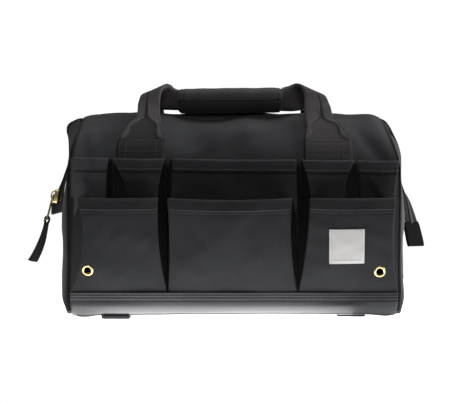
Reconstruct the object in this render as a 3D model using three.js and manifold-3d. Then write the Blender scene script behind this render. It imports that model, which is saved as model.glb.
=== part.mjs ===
// A zip-top canvas tool bag with two webbing handles, two rows of front pockets and a coated base.
// Millimetres, +Z up. The front of the bag faces -Y, and the origin is on the floor under the middle
// of the whole object's box.
import * as THREE from "three";
import { mergeVertices } from "three/addons/utils/BufferGeometryUtils.js";
import Module from "manifold-3d";

const wasm = await Module();
wasm.setup();

// Driving dimensions
const BODY_WIDTH = 340; // between the two end seams
const HALF_WIDTH = BODY_WIDTH / 2;
const RUNNER = { height: 3.6, width: 30, depth: 184, x: 123, round: 4 };
const GAP = 0.3; // left between sewn layers
const PANEL = 1.6; // canvas of the main panels
const PANEL_GRID = { rows: 12, columns: 16 };
const END_GRID = { rows: 11, columns: 10 };
const POCKET = 1.2; // canvas of the pocket sheets
const BASE = { wall: 2.2, top: 28.4, depth: 99.3, corner: 16, steps: 5 };

// Side profile of the front and back panels: distance out from the mid-plane, and height
const PROFILE = [
  { name: "tucked_hem", out: 96, up: 20.5 },
  { name: "base_line", out: 96, up: 28 },
  { name: "belly", out: 96, up: 90 },
  { name: "hem_line", out: 96, up: 140 },
  { name: "shoulder_low", out: 92.5, up: 166 },
  { name: "shoulder", out: 76, up: 188 },
  { name: "slope", out: 44, up: 204 },
  { name: "lip", out: 11, up: 213 },
];
const LIP = PROFILE.at(-1);
const CORNER = { start: 138, drop: 8, taper: 5 }; // the ridge falls and draws in towards both ends
const RIDGE_FROM = 150; // height above which the ridge's own shape fades in
const SAG = { at: -18, reach: 40, from: 192, front: 6.5, back: 5 };
const BACK_BULGE = { depth: 4, full: 90, top: 175 };

// End panels: how far they swell, and how far the zip pushes their top out
const END = { left: 17.5, right: 15.5, bottom: 7, top: 200.4, seam: GAP };
const END_SWELL = { low: -7, fullLow: 34, fullHigh: 105, high: 195 };
const END_FOOT = { inset: 6, low: 1, high: 22 };
const ZIP_PUSH = { left: 9.5, right: 1.5, from: 172 };

// Pocket rows. Each row gives the seams, the two front edges at the hem and half-way down,
// how far the hem stands out, and how much its front bows.
const UPPER = { layer: 96 + GAP, hem: 166.5, foot: 20.5, base: BASE.top, opening: 1.6 };
const LOWER = { layer: 96 + 2 * GAP + POCKET, hem: 127.5, foot: 20.5, base: BASE.top, opening: 0.8 };
const UPPER_POCKETS = [
  { name: "far_left", seams: [-168.8, -127.5], top: [-164.5, -131], mid: [-165, -134], out: 6, bow: 1.5 },
  { name: "left", seams: [-126.9, -70], top: [-123, -72.5], mid: [-112, -79], out: 11, bow: 1.5 },
  { name: "center", seams: [-66.2, 65.2], top: [-61.5, 60.5], mid: [-58, 57], out: 6, bow: 1 },
  { name: "right", seams: [68, 126.9], top: [70.5, 123], mid: [79, 108], out: 11, bow: 1.5 },
  { name: "far_right", seams: [127.5, 168.8], top: [131, 164.5], mid: [134, 165], out: 6, bow: 1.5 },
];
const LOWER_POCKETS = [
  { name: "left", seams: [-169.4, -68.8], top: [-161.5, -76], mid: [-154, -79], out: 17, bow: 3 },
  { name: "center", seams: [-68.2, 65.7], top: [-67, 58], mid: [-65, 57], out: 17, bow: 4 },
  { name: "right", seams: [66.3, 169.4], top: [75, 166], mid: [74, 164], out: 17, bow: 3 },
];

const LABEL = { x: 117, z: 77, size: 36, thick: 0.8, steps: 4 };
const GROMMET = { outer: 6.1, hole: 3.5, barrel: 4.2, cut: 4.6, flange: 1.1, sides: 18 };
const GROMMETS = [
  { name: "left", pocket: "left", x: -150.5, z: 52 },
  { name: "right", pocket: "right", x: 150, z: 50.5 },
];

// One half of a handle, from its sewn end to the middle of the grip. The rows on the panel
// follow its profile at the height `up`, and the others stand free.
const HANDLE_X = 92;
const HANDLE_SHIFT = -2.5; // the handles sit a little off the middle
const HANDLE = [
  { name: "sewn_end", up: 152, half: 19, thick: 1.2 },
  { name: "sewn_low", up: 165, half: 19, thick: 1.2 },
  { name: "sewn_mid", up: 177, half: 19, thick: 1.2 },
  { name: "sewn_top", up: 187, half: 19, thick: 1.2 },
  { name: "lift_off", up: 196, half: 18.5, thick: 1.5, lift: 1.2 },
  { name: "leg_low", x: 91, out: 49, up: 208, half: 15.5, thick: 3, face: 56 },
  { name: "leg_mid", x: 90, out: 37, up: 217, half: 14, thick: 3.5, face: 44 },
  { name: "corner_in", x: 86, out: 27, up: 226, half: 14, thick: 3.5, face: 28 },
  { name: "corner", x: 74, out: 20, up: 231, half: 15.5, thick: 3.8, face: 12 },
  { name: "corner_out", x: 64, out: 18, up: 229, half: 13, thick: 6, face: 5 },
  { name: "grip_end", x: 55.5, out: 17.5, up: 227.5, half: 9, thick: 9, face: 0 },
  { name: "grip_quarter", x: 28, out: 17.5, up: 227.5, half: 9, thick: 9, face: 0 },
];
const STRAP_GAP = 0.6;
const STRAP_SIDES = 12;
const FLAT_RING = 0.7; // below 1 fills out the corners of a flat strap's section
const GRIP = { half: 54.5, outer: 13, inner: 9.5, round: 2, sides: 18 };

// The zip: its tape runs along the ridge, over both ends and down into two free tails
const TAPE = { half: 12.5, thick: 1.2, below_lip: 3.4, seat: 1.9 };
const ZIP_TAILS = {
  left: [
    { name: "over_end", up: 202 },
    { name: "turn", x: 183.5, up: 198 },
    { name: "sewn_high", up: 185 },
    { name: "sewn_mid", up: 170 },
    { name: "sewn_low", up: 156 },
    { name: "leave", x: 188.3, up: 141 },
    { name: "slider", x: 192.5, up: 121 },
    { name: "end", x: 195, up: 110 },
  ],
  right: [
    { name: "over_end", up: 202 },
    { name: "turn", x: 172.5, up: 197 },
    { name: "sewn_high", up: 185 },
    { name: "sewn_mid", up: 170 },
    { name: "sewn_low", up: 156 },
    { name: "leave", x: 187, up: 141, twist: 3 },
    { name: "hang", x: 194, up: 116, twist: 18 },
    { name: "end", x: 198.5, up: 92, twist: 32 },
  ],
};
const RIDGE_STATIONS = [-166, -150, -120, -88, -58, -36, -18, 0, 24, 50, 86, 120, 150, 166];
const CHAIN = { half: 3, thick: 2.2 };
const TAB = { half: 14.5, thick: 4.4, left: 8, right: 26 };

const SLIDER = { length: 15, half: 5.8, plate: 2, skirt: 1.6 };
const ARCH = { half: 1.6, length: 12, clear: 3.2, thick: 1.5 };
const PULL = {
  length: 28, half: 4.8, thick: 1.6, bar: 2, chamfer: 2, lean: 3, play: 0.8,
  window: { half: 2.4, length: 9.2 },
  slot: { half: 3.2, length: 2.8 },
};
const PULL_STRAP = { half: 4.4, layer: 1.9, length: 48, loop: 3.4, flare: 3.2, bend: 2 };

const COLOURS = {
  canvas: { color: 0x2c2d30, roughness: 0.9, metalness: 0 },
  coated: { color: 0x3a3b3f, roughness: 0.45, metalness: 0 },
  webbing: { color: 0x2e2a2c, roughness: 0.85, metalness: 0 },
  rubber: { color: 0x26282a, roughness: 0.8, metalness: 0 },
  tape: { color: 0x1d1c1e, roughness: 0.85, metalness: 0 },
  brass: { color: 0xd8cf9a, roughness: 0.3, metalness: 1 },
  label: { color: 0xd3d0d2, roughness: 0.9, metalness: 0 },
};

const vec = (x, y, z) => new THREE.Vector3(x, y, z);
const lerp = THREE.MathUtils.lerp;
const rad = THREE.MathUtils.degToRad;
const fade = (value, from, to) => THREE.MathUtils.smoothstep(value, from, to);
const range = (n) => [...Array(n).keys()];

// Closed geometry from points and triangles, turned so that its faces point out
function closedGeometry(points, triangles) {
  let volume = 0;
  for (const [a, b, c] of triangles) {
    volume += points[a].dot(points[b].clone().cross(points[c]));
  }
  const faces = volume < 0 ? triangles.map(([a, b, c]) => [a, c, b]) : triangles;
  const geometry = new THREE.BufferGeometry().setFromPoints(points);
  return geometry.setIndex(faces.flat());
}

// Two triangles for each cell of a grid whose rows are lists of point indices
function gridFaces(rows) {
  const faces = [];
  for (let r = 0; r + 1 < rows.length; r++) {
    for (let c = 0; c + 1 < rows[r].length; c++) {
      const [a, b] = [rows[r][c], rows[r][c + 1]];
      const [d, e] = [rows[r + 1][c], rows[r + 1][c + 1]];
      faces.push([a, b, e], [a, e, d]);
    }
  }
  return faces;
}

// A wall of even thickness behind a grid of outer points: skin, back skin and the rim between them
function wall(grid, thickness, outward) {
  const [rows, cols] = [grid.length, grid[0].length];
  const at = (r, c) => grid[Math.min(Math.max(r, 0), rows - 1)][Math.min(Math.max(c, 0), cols - 1)];
  const inner = grid.map((row, r) =>
    row.map((point, c) => {
      const along = at(r, c + 1).clone().sub(at(r, c - 1));
      const normal = at(r + 1, c).clone().sub(at(r - 1, c)).cross(along).normalize();
      if (normal.dot(outward) < 0) normal.negate();
      return point.clone().addScaledVector(normal, -thickness);
    }),
  );
  const points = [...grid.flat(), ...inner.flat()];
  const front = range(rows).map((r) => range(cols).map((c) => r * cols + c));
  const back = front.map((row) => row.map((i) => i + rows * cols));
  const border = (g) => [
    ...g[0],
    ...g.slice(1).map((row) => row.at(-1)),
    ...g.at(-1).slice(0, -1).reverse(),
    ...g.slice(0, -1).reverse().map((row) => row[0]),
  ];
  const rim = gridFaces([border(back), border(front)]);
  const flipped = gridFaces(back).map(([a, b, c]) => [a, c, b]);
  return closedGeometry(points, [...gridFaces(front), ...flipped, ...rim]);
}

// A solid through rings of points, closed by a fan at each end
function loft(rings) {
  const sides = rings[0].length;
  const points = rings.flat();
  const faces = [];
  for (let r = 0; r + 1 < rings.length; r++) {
    for (let s = 0; s < sides; s++) {
      const [a, b] = [r * sides + s, r * sides + ((s + 1) % sides)];
      faces.push([a, b, b + sides], [a, b + sides, a + sides]);
    }
  }
  const cap = (start, turn) => {
    const centre = vec(0, 0, 0);
    for (let s = 0; s < sides; s++) centre.addScaledVector(points[start + s], 1 / sides);
    const middle = points.push(centre) - 1;
    for (let s = 0; s < sides; s++) {
      const [a, b] = [start + s, start + ((s + 1) % sides)];
      faces.push(turn ? [a, middle, b] : [a, b, middle]);
    }
  };
  cap(0, true);
  cap((rings.length - 1) * sides, false);
  return closedGeometry(points, faces);
}

const bag = new THREE.Group();

function addPiece(name, geometry, finish, place = bag) {
  const mesh = new THREE.Mesh(geometry, new THREE.MeshStandardMaterial(COLOURS[finish]));
  mesh.name = name;
  place.add(mesh);
  return mesh;
}

// Main panels. The profile is one smooth curve, read either by share of its length or by height.
const profileCurve = new THREE.CatmullRomCurve3(
  PROFILE.map((row) => vec(0, row.out, row.up)), false, "centripetal",
);
const halfWidthAt = (up) => HALF_WIDTH - CORNER.taper * fade(up, RIDGE_FROM, LIP.up);
const pastCorner = (x) => Math.max(0, (Math.abs(x) - CORNER.start) / (HALF_WIDTH - CORNER.start));
const ridgeDrop = (x) => CORNER.drop * pastCorner(x) ** 2;
const lipSag = (x, depth) => depth * Math.exp(-(((x - SAG.at) / SAG.reach) ** 2));

function shapedPanelPoint(side, x, out, up) {
  const sag = lipSag(x, side < 0 ? SAG.front : SAG.back) * fade(up, SAG.from, LIP.up);
  const drop = ridgeDrop(x) * fade(up, RIDGE_FROM, LIP.up);
  const { depth, full, top } = BACK_BULGE;
  const upwards = fade(up, BASE.top, full) * (1 - fade(up, full, top));
  const swell = side < 0 ? 0 : depth * upwards * Math.cos((x / BODY_WIDTH) * Math.PI);
  const narrowed = (x * halfWidthAt(up)) / HALF_WIDTH;
  return vec(narrowed, side * (out + swell), up - sag - drop);
}

function buildPanel(name, side) {
  const { rows, columns } = PANEL_GRID;
  const across = range(columns + 1).map((c) => lerp(-HALF_WIDTH, HALF_WIDTH, c / columns));
  const grid = profileCurve.getSpacedPoints(rows).map((p) =>
    across.map((x) => shapedPanelPoint(side, x, p.y, p.z)),
  );
  addPiece(name, wall(grid, PANEL, vec(0, side, 0.8)), "canvas");
}

// Distance out from the mid-plane at a height, on the plain profile
function profileAt(up) {
  let [low, high] = [0, 1];
  for (let i = 0; i < 40; i++) {
    const middle = (low + high) / 2;
    if (profileCurve.getPointAt(middle).z < up) low = middle;
    else high = middle;
  }
  const point = profileCurve.getPointAt(low);
  const tangent = profileCurve.getTangentAt(low);
  return { out: point.y, up: point.z, normal: vec(0, tangent.z, -tangent.y) };
}

// End panels swell outwards and are pushed out at the top by the turn of the zip
function endPanelX(side, across, up) {
  const { low, fullLow, fullHigh, high } = END_SWELL;
  const arch = Math.cos((across * Math.PI) / 2);
  const swell = END[side] * fade(up, low, fullLow) * (1 - fade(up, fullHigh, high)) * arch ** 0.75;
  const push = ZIP_PUSH[side] * fade(up, ZIP_PUSH.from, END.top) * arch ** 2;
  return halfWidthAt(up) + END.seam + PANEL + swell + push;
}

function buildEndPanel(side) {
  const { rows, columns } = END_GRID;
  const sign = side === "left" ? -1 : 1;
  const grid = range(rows + 1).map((r) => {
    const up = lerp(END.bottom, END.top, r / rows);
    const raised = up + ridgeDrop(HALF_WIDTH) * fade(up, RIDGE_FROM, END.top);
    const half = profileAt(raised).out - END_FOOT.inset * (1 - fade(up, END_FOOT.low, END_FOOT.high));
    return range(columns + 1).map((c) => {
      const across = lerp(-1, 1, c / columns);
      return vec(sign * endPanelX(side, across, up), across * half, up);
    });
  });
  addPiece(`end_panel_${side}`, wall(grid, PANEL, vec(sign, 0, 0)), "canvas");
}

// Coated base: one sheet up the front, under the bag and up the back
function buildBase() {
  const outline = new THREE.Path();
  const [reach, floor] = [BASE.depth + BASE.wall, RUNNER.height + GAP];
  outline.moveTo(-reach, BASE.top);
  outline.lineTo(-reach, floor + BASE.corner);
  outline.absarc(-reach + BASE.corner, floor + BASE.corner, BASE.corner, Math.PI, 1.5 * Math.PI);
  outline.lineTo(reach - BASE.corner, floor);
  outline.absarc(reach - BASE.corner, floor + BASE.corner, BASE.corner, 1.5 * Math.PI, 2 * Math.PI);
  outline.lineTo(reach, BASE.top);
  const section = new THREE.Shape();
  const outer = outline.getPoints(BASE.steps);
  const middle = reach - BASE.corner;
  const inner = outer.map((p) => {
    const level = THREE.MathUtils.clamp(p.x, -middle, middle);
    const centre = new THREE.Vector2(level, Math.max(p.y, floor + BASE.corner));
    return p.clone().add(centre.sub(p).setLength(BASE.wall));
  });
  section.setFromPoints([...outer, ...inner.reverse()]);
  const geometry = new THREE.ExtrudeGeometry(section, { depth: BODY_WIDTH, bevelEnabled: false });
  geometry.applyMatrix4(new THREE.Matrix4().makeBasis(vec(0, 1, 0), vec(0, 0, 1), vec(1, 0, 0)));
  geometry.translate(-HALF_WIDTH, 0, 0);
  addPiece("base_tray", geometry, "coated");
}

function buildRunner(name, x) {
  const outline = new THREE.Shape();
  const [w, d, r] = [RUNNER.width / 2, RUNNER.depth / 2, RUNNER.round];
  outline.moveTo(-w + r, -d);
  outline.lineTo(w - r, -d);
  outline.absarc(w - r, -d + r, r, -Math.PI / 2, 0);
  outline.lineTo(w, d - r);
  outline.absarc(w - r, d - r, r, 0, Math.PI / 2);
  outline.lineTo(-w + r, d);
  outline.absarc(-w + r, d - r, r, Math.PI / 2, Math.PI);
  outline.lineTo(-w, -d + r);
  outline.absarc(-w + r, -d + r, r, Math.PI, 1.5 * Math.PI);
  const geometry = new THREE.ExtrudeGeometry(outline, {
    depth: RUNNER.height, bevelEnabled: false, curveSegments: 3,
  });
  addPiece(name, geometry, "rubber").position.x = x;
}

// Pockets. A sheet is sewn down along its two seams and at its foot, and opens towards its hem.
const POCKET_SHARES = [0, 0.2, 0.44, 0.67, 0.86, 1]; // of the height from the base line to the hem
const GUSSET_SHARES = [0, 0.5, 0.9]; // of the way from the seam to the front edge
const FRONT_STEPS = 6;
const EDGE_ROUND = 1.5;
const BOW_PHASE = 2.2; // the bow is widest a little below the hem

function pocketShape(row, pocket, up) {
  const share = Math.max(0, (up - row.base) / (row.hem - row.base));
  const edge = (i) => {
    const low = lerp(pocket.seams[i], pocket.mid[i], Math.min(1, share * 2));
    return share < 0.5 ? low : lerp(pocket.mid[i], pocket.top[i], share * 2 - 1);
  };
  const out = pocket.out * share ** row.opening;
  return { out, edges: [edge(0), edge(1)], bow: pocket.bow * Math.sin(share * BOW_PHASE) };
}

// Outer face of a pocket's front at a place across and up
function pocketFront(row, pocket, x, up) {
  const { out, edges, bow } = pocketShape(row, pocket, up);
  const across = ((x - edges[0]) / (edges[1] - edges[0])) * 2 - 1;
  return vec(x, -(row.layer + POCKET + out + bow * (1 - across ** 2)), up);
}

function pocketGrid(row, pocket) {
  const heights = [row.foot, ...POCKET_SHARES.map((share) => lerp(row.base, row.hem, share))];
  return heights.map((up) => {
    const { out, edges } = pocketShape(row, pocket, up);
    const gusset = (i) => {
      const [seam, edge] = [pocket.seams[i], edges[i]];
      return GUSSET_SHARES.map((s) => vec(lerp(seam, edge, s), -(row.layer + POCKET + out * s), up));
    };
    const [from, to] = [edges[0] + EDGE_ROUND, edges[1] - EDGE_ROUND];
    const front = range(FRONT_STEPS + 1).map((i) =>
      pocketFront(row, pocket, lerp(from, to, i / FRONT_STEPS), up),
    );
    return [...gusset(0), ...front, ...gusset(1).reverse()];
  });
}

const outlineOf = (corners) => new THREE.Shape(corners.map(([x, y]) => new THREE.Vector2(x, y)));

// A mesh's geometry as a solid that can be cut
function solidOf(geometry) {
  const bare = geometry.clone();
  bare.deleteAttribute("normal");
  bare.deleteAttribute("uv");
  const merged = mergeVertices(bare, 1e-4);
  return new wasm.Manifold(
    new wasm.Mesh({
      numProp: 3,
      vertProperties: merged.attributes.position.array,
      triVerts: new Uint32Array(merged.index.array),
    }),
  );
}

function geometryOf(solid) {
  const mesh = solid.getMesh();
  return new THREE.BufferGeometry()
    .setAttribute("position", new THREE.BufferAttribute(new Float32Array(mesh.vertProperties), 3))
    .setIndex(new THREE.BufferAttribute(new Uint32Array(mesh.triVerts), 1));
}

const lowerPocket = (name) => LOWER_POCKETS.find((p) => p.name === name);

// The place of a grommet on its pocket, with +Z along the cloth's own normal
function grommetPlace({ pocket, x, z }) {
  const front = (dx, dz) => pocketFront(LOWER, lowerPocket(pocket), x + dx, z + dz);
  const across = front(2, 0).sub(front(-2, 0));
  const upwards = front(0, 2).sub(front(0, -2));
  const normal = across.cross(upwards).normalize();
  const turn = new THREE.Quaternion().setFromUnitVectors(vec(0, 0, 1), normal);
  return { at: front(0, 0), turn };
}

function buildPockets() {
  for (const pocket of UPPER_POCKETS) {
    const sheet = wall(pocketGrid(UPPER, pocket), POCKET, vec(0, -1, 0));
    addPiece(`upper_pocket_${pocket.name}`, sheet, "canvas");
  }
  for (const pocket of LOWER_POCKETS) {
    let sheet = wall(pocketGrid(LOWER, pocket), POCKET, vec(0, -1, 0));
    for (const grommet of GROMMETS.filter((g) => g.pocket === pocket.name)) {
      const { at, turn } = grommetPlace(grommet);
      const punch = new THREE.CylinderGeometry(GROMMET.cut, GROMMET.cut, 8, GROMMET.sides);
      punch.rotateX(Math.PI / 2).applyQuaternion(turn).translate(at.x, at.y, at.z);
      sheet = geometryOf(solidOf(sheet).subtract(solidOf(punch)));
    }
    addPiece(`lower_pocket_${pocket.name}`, sheet, "canvas");
  }
}

// A rolled brass eyelet: front flange, barrel through the cloth, back flange
function buildGrommet(grommet) {
  const { outer, hole, barrel, flange } = GROMMET;
  const cloth = POCKET + 2 * GAP + 0.2;
  const front = GAP + 0.1;
  const back = front - cloth;
  const profile = [
    [hole, back - flange], [outer - 0.7, back - flange], [outer - 0.7, back], [barrel, back],
    [barrel, front], [outer, front], [outer - 0.5, front + flange * 0.8], [outer - 1.4, front + flange],
    [hole + 0.6, front + flange * 0.8], [hole, front + 0.2], [hole, back - flange],
  ].map(([r, h]) => new THREE.Vector2(r, h));
  const geometry = new THREE.LatheGeometry(profile, GROMMET.sides).rotateX(Math.PI / 2);
  const { at, turn } = grommetPlace(grommet);
  const mesh = addPiece(`grommet_${grommet.name}`, geometry, "brass");
  mesh.position.copy(at);
  mesh.quaternion.copy(turn);
}

function buildLabel() {
  const lift = GAP + 0.2 + LABEL.thick;
  const grid = range(LABEL.steps + 1).map((r) =>
    range(LABEL.steps + 1).map((c) => {
      const x = LABEL.x + LABEL.size * (c / LABEL.steps - 0.5);
      const z = LABEL.z + LABEL.size * (r / LABEL.steps - 0.5);
      return pocketFront(LOWER, lowerPocket("right"), x, z).add(vec(0, -lift, 0));
    }),
  );
  addPiece("label_patch", wall(grid, LABEL.thick, vec(0, -1, 0)), "label");
}

// A flat or round ring of points round a path: half a width one way, half a thickness the other
function ring(centre, widthways, outwards, half, thick, sides) {
  return range(sides).map((i) => {
    const angle = (i / sides) * 2 * Math.PI;
    const fullness = half === thick ? 1 : FLAT_RING;
    const filled = (v) => Math.sign(v) * Math.abs(v) ** fullness;
    return centre.clone()
      .addScaledVector(widthways, half * filled(Math.cos(angle)))
      .addScaledVector(outwards, thick * filled(Math.sin(angle)));
  });
}

// Handles: half the stations are read from the table and the other half mirrored
function handleStations(side) {
  const half = HANDLE.map((row) => {
    const onPanel = row.x === undefined;
    const seat = onPanel ? profileAt(row.up) : null;
    const normal = onPanel ? seat.normal : vec(0, Math.cos(rad(row.face)), Math.sin(rad(row.face)));
    const centre = onPanel
      ? vec(HANDLE_X, seat.out, seat.up).addScaledVector(normal, STRAP_GAP + (row.lift ?? 0) + row.thick)
      : vec(row.x, row.out, row.up);
    return { centre, normal, half: row.half, thick: row.thick };
  });
  const mirrored = half.map((s) => ({
    ...s, centre: s.centre.clone().setX(-s.centre.x), normal: s.normal.clone(),
  }));
  const whole = [...mirrored, ...half.reverse()];
  for (const station of whole) {
    station.centre.x += HANDLE_SHIFT;
    station.centre.y *= side;
    station.normal.y *= side;
  }
  return whole;
}

function buildHandle(name, side) {
  const stations = handleStations(side);
  const rings = stations.map(({ centre, normal, half, thick }, i) => {
    const before = stations[Math.max(i - 1, 0)].centre;
    const after = stations[Math.min(i + 1, stations.length - 1)].centre;
    const along = after.clone().sub(before).normalize();
    const widthways = along.clone().cross(normal).normalize();
    const outwards = widthways.clone().cross(along).normalize();
    return ring(centre, widthways, outwards, half, thick, STRAP_SIDES);
  });
  addPiece(`handle_${name}`, loft(rings), "webbing");
  const grip = HANDLE.at(-1);
  const { half, outer, inner, round, sides } = GRIP;
  const profile = [
    [inner, -half], [outer - round, -half], [outer, -half + round], [outer, half - round],
    [outer - round, half], [inner, half], [inner, -half],
  ].map(([r, h]) => new THREE.Vector2(r, h));
  const sleeve = new THREE.LatheGeometry(profile, sides).rotateZ(Math.PI / 2);
  addPiece(`grip_${name}`, sleeve, "canvas").position.set(HANDLE_SHIFT, side * grip.out, grip.up);
}

// Zip: one path in the bag's mid-plane, with the outward direction at each station
function zipStations() {
  const tail = (side, sign) =>
    ZIP_TAILS[side].map((row) => ({
      point: vec(sign * (row.x ?? endPanelX(side, 0, row.up) + TAPE.seat), 0, row.up),
      twist: sign * (row.twist ?? 0),
      name: row.name,
    }));
  const ridgeSpread = HALF_WIDTH / halfWidthAt(LIP.up);
  const ridge = RIDGE_STATIONS.map((x) => ({
    point: vec(x, 0, LIP.up - TAPE.below_lip - ridgeDrop(x * ridgeSpread) - lipSag(x, SAG.front)),
    twist: 0,
    name: "ridge",
  }));
  const stations = [...tail("left", -1).reverse(), ...ridge, ...tail("right", 1)];
  return stations.map((s, i) => {
    const before = stations[Math.max(i - 1, 0)].point;
    const after = stations[Math.min(i + 1, stations.length - 1)].point;
    const along = after.clone().sub(before).normalize();
    const widthways = vec(0, 1, 0).applyAxisAngle(along, rad(s.twist));
    return { ...s, along, widthways, outwards: along.clone().cross(widthways).normalize() };
  });
}

// A strip along part of the zip, raised off the path
function zipStrip(stations, half, thick, rise) {
  return loft(
    stations.map(({ point, widthways, outwards }) => {
      const corner = (w, t) =>
        point.clone().addScaledVector(widthways, w * half).addScaledVector(outwards, rise + t * thick);
      return [corner(-1, -0.5), corner(1, -0.5), corner(1, 0.5), corner(-1, 0.5)];
    }),
  );
}

// A folded end piece that carries on from the tape's end
function buildZipTab(side, station, direction, length) {
  const along = station.along.clone().multiplyScalar(direction);
  const ends = [GAP, length * 0.15, length].map((distance) => ({
    ...station, point: station.point.clone().addScaledVector(along, distance),
  }));
  const geometry = zipStrip(direction < 0 ? ends.reverse() : ends, TAB.half, TAB.thick, 0);
  addPiece(`zip_tab_${side}`, geometry, "webbing");
}

// Brass slider on the left tail: a plate with side skirts over the chain, and an arch for the pull
function buildSlider(station) {
  const chainTop = TAPE.thick / 2 + GAP + CHAIN.thick;
  const { length, half, plate, skirt } = SLIDER;
  const [low, high] = [chainTop + GAP, chainTop + GAP + plate];
  const foot = TAPE.thick / 2 + GAP;
  const inside = half - skirt;
  const cap = outlineOf([
    [-half, foot], [-half, high], [half, high], [half, foot],
    [inside, foot], [inside, low], [-inside, low], [-inside, foot],
  ]);
  const body = new THREE.ExtrudeGeometry(cap, { depth: length, bevelEnabled: false });
  body.translate(0, 0, -length / 2);
  const { length: span, clear, thick } = ARCH;
  const [reach, root, under, top] = [span / 2, high - thick / 2, high + clear, high + clear + thick];
  const within = reach - thick;
  const arch = outlineOf([
    [-reach, root], [-reach, under], [-within, top], [within, top], [reach, under], [reach, root],
    [within, root], [within, under], [-within, under], [-within, root],
  ]);
  const bridge = new THREE.ExtrudeGeometry(arch, { depth: 2 * ARCH.half, bevelEnabled: false })
    .translate(0, 0, -ARCH.half)
    .applyMatrix4(new THREE.Matrix4().makeBasis(vec(0, 0, 1), vec(0, 1, 0), vec(-1, 0, 0)));
  const mesh = addPiece("zip_slider", geometryOf(solidOf(body).add(solidOf(bridge))), "brass");
  const { point, widthways, outwards } = station;
  mesh.position.copy(point);
  mesh.quaternion.setFromRotationMatrix(
    new THREE.Matrix4().makeBasis(widthways, outwards, widthways.clone().cross(outwards)),
  );
  return high + PULL.thick / 2 + PULL.play;
}

// Brass pull on the arch, and the doubled strap that is threaded through its slot
function buildPull(station, rise) {
  const { half, length, bar, chamfer, window: eye, slot } = PULL;
  const plate = outlineOf([
    [-half, bar / 2], [half, bar / 2], [half, chamfer - length],
    [half - chamfer, -length], [chamfer - half, -length], [-half, chamfer - length],
  ]);
  const slotTop = chamfer + slot.length - length;
  const cutter = (halfWidth, top, deep) =>
    solidOf(new THREE.BoxGeometry(2 * halfWidth, deep, 4 * PULL.thick).translate(0, top - deep / 2, 0));
  const blank = new THREE.ExtrudeGeometry(plate, { depth: PULL.thick, bevelEnabled: false });
  blank.translate(0, 0, -PULL.thick / 2);
  const pierced = solidOf(blank)
    .subtract(cutter(eye.half, -bar / 2, eye.length))
    .subtract(cutter(slot.half, slotTop, slot.length));
  const geometry = geometryOf(pierced);

  // The hinge frame hangs down the tail: X across the zip, Y up, Z out of the bag
  const hinge = new THREE.Group();
  hinge.position.copy(station.point).addScaledVector(station.outwards, rise);
  const [across, upwards] = [vec(0, -1, 0), station.along.clone()];
  hinge.quaternion.setFromRotationMatrix(
    new THREE.Matrix4().makeBasis(across, upwards, across.clone().cross(upwards)),
  );
  hinge.rotateX(rad(-PULL.lean));
  bag.add(hinge);
  addPiece("zip_pull", geometry, "brass", hinge);
  addPiece("pull_strap", pullStrapGeometry(slotTop - slot.length / 2), "webbing", hinge);
}

// One flat strap folded through the slot: up the back, round the bar below the slot and down the front.
// Each row gives the drop below the slot, the place in front of the plate and half the strap's width.
function pullStrapGeometry(slotMiddle) {
  const { half, layer, length, loop, flare, bend } = PULL_STRAP;
  const narrow = PULL.slot.half - GAP;
  const beside = PULL.thick / 2 + GAP + layer / 2;
  const together = layer / 2 + GAP;
  const leg = (sign) => [
    { name: "end", drop: length, front: sign * flare, width: half },
    { name: "middle", drop: length * 0.55, front: sign * together, width: half },
    { name: "below_bar", drop: loop + 4, front: sign * together, width: (half + narrow) / 2 },
    { name: "beside_bar", drop: loop, front: sign * (beside + 0.4), width: narrow },
    { name: "shoulder", drop: 0.6, front: sign * (beside + 0.2), width: narrow },
  ];
  const path = [...leg(-1), { name: "through", drop: -0.1, front: 0, width: narrow }, ...leg(1).reverse()];
  const points = path.map(({ drop, front }) => {
    const curl = bend * Math.max(0, drop / length) ** 2;
    return vec(0, slotMiddle - drop, front + curl);
  });
  const rings = points.map((point, i) => {
    const before = points[Math.max(i - 1, 0)];
    const after = points[Math.min(i + 1, points.length - 1)];
    const along = after.clone().sub(before).normalize();
    const face = along.cross(vec(1, 0, 0)).normalize();
    const corner = (w, t) =>
      point.clone().add(vec(w * path[i].width, 0, 0)).addScaledVector(face, (t * layer) / 2);
    return [corner(-1, -1), corner(1, -1), corner(1, 1), corner(-1, 1)];
  });
  return loft(rings);
}

function buildZip() {
  const stations = zipStations();
  addPiece("zip_tape", zipStrip(stations, TAPE.half, TAPE.thick, 0), "tape");
  const rise = TAPE.thick / 2 + GAP + CHAIN.thick / 2;
  addPiece("zip_chain", zipStrip(stations, CHAIN.half, CHAIN.thick, rise), "tape");
  buildZipTab("left", stations[0], -1, TAB.left);
  buildZipTab("right", stations.at(-1), 1, TAB.right);
  const sliderStation = stations.find((s) => s.name === "slider");
  buildPull(sliderStation, buildSlider(sliderStation));
}

buildPanel("front_panel", -1);
buildPanel("back_panel", 1);
buildEndPanel("left");
buildEndPanel("right");
buildBase();
buildRunner("runner_left", -RUNNER.x);
buildRunner("runner_right", RUNNER.x);
buildPockets();
GROMMETS.forEach(buildGrommet);
buildLabel();
buildHandle("front", -1);
buildHandle("back", 1);
buildZip();

// The origin is under the middle of the whole object's box
const box = new THREE.Box3().setFromObject(bag, true);
bag.position.set(-(box.min.x + box.max.x) / 2, -(box.min.y + box.max.y) / 2, 0);

export default bag;
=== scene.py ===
# %% [markdown]
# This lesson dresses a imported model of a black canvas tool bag. The bag stands closed and empty on two
# rubber feet, with two rows of open pockets, a pair of webbing handles and a zip along its ridge. The
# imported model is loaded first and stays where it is. Everything made here takes its place from it.

# %% Load the frame
import math

import bpy
import numpy as np
from mathutils import Matrix, Vector
from mathutils.bvhtree import BVHTree


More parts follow.
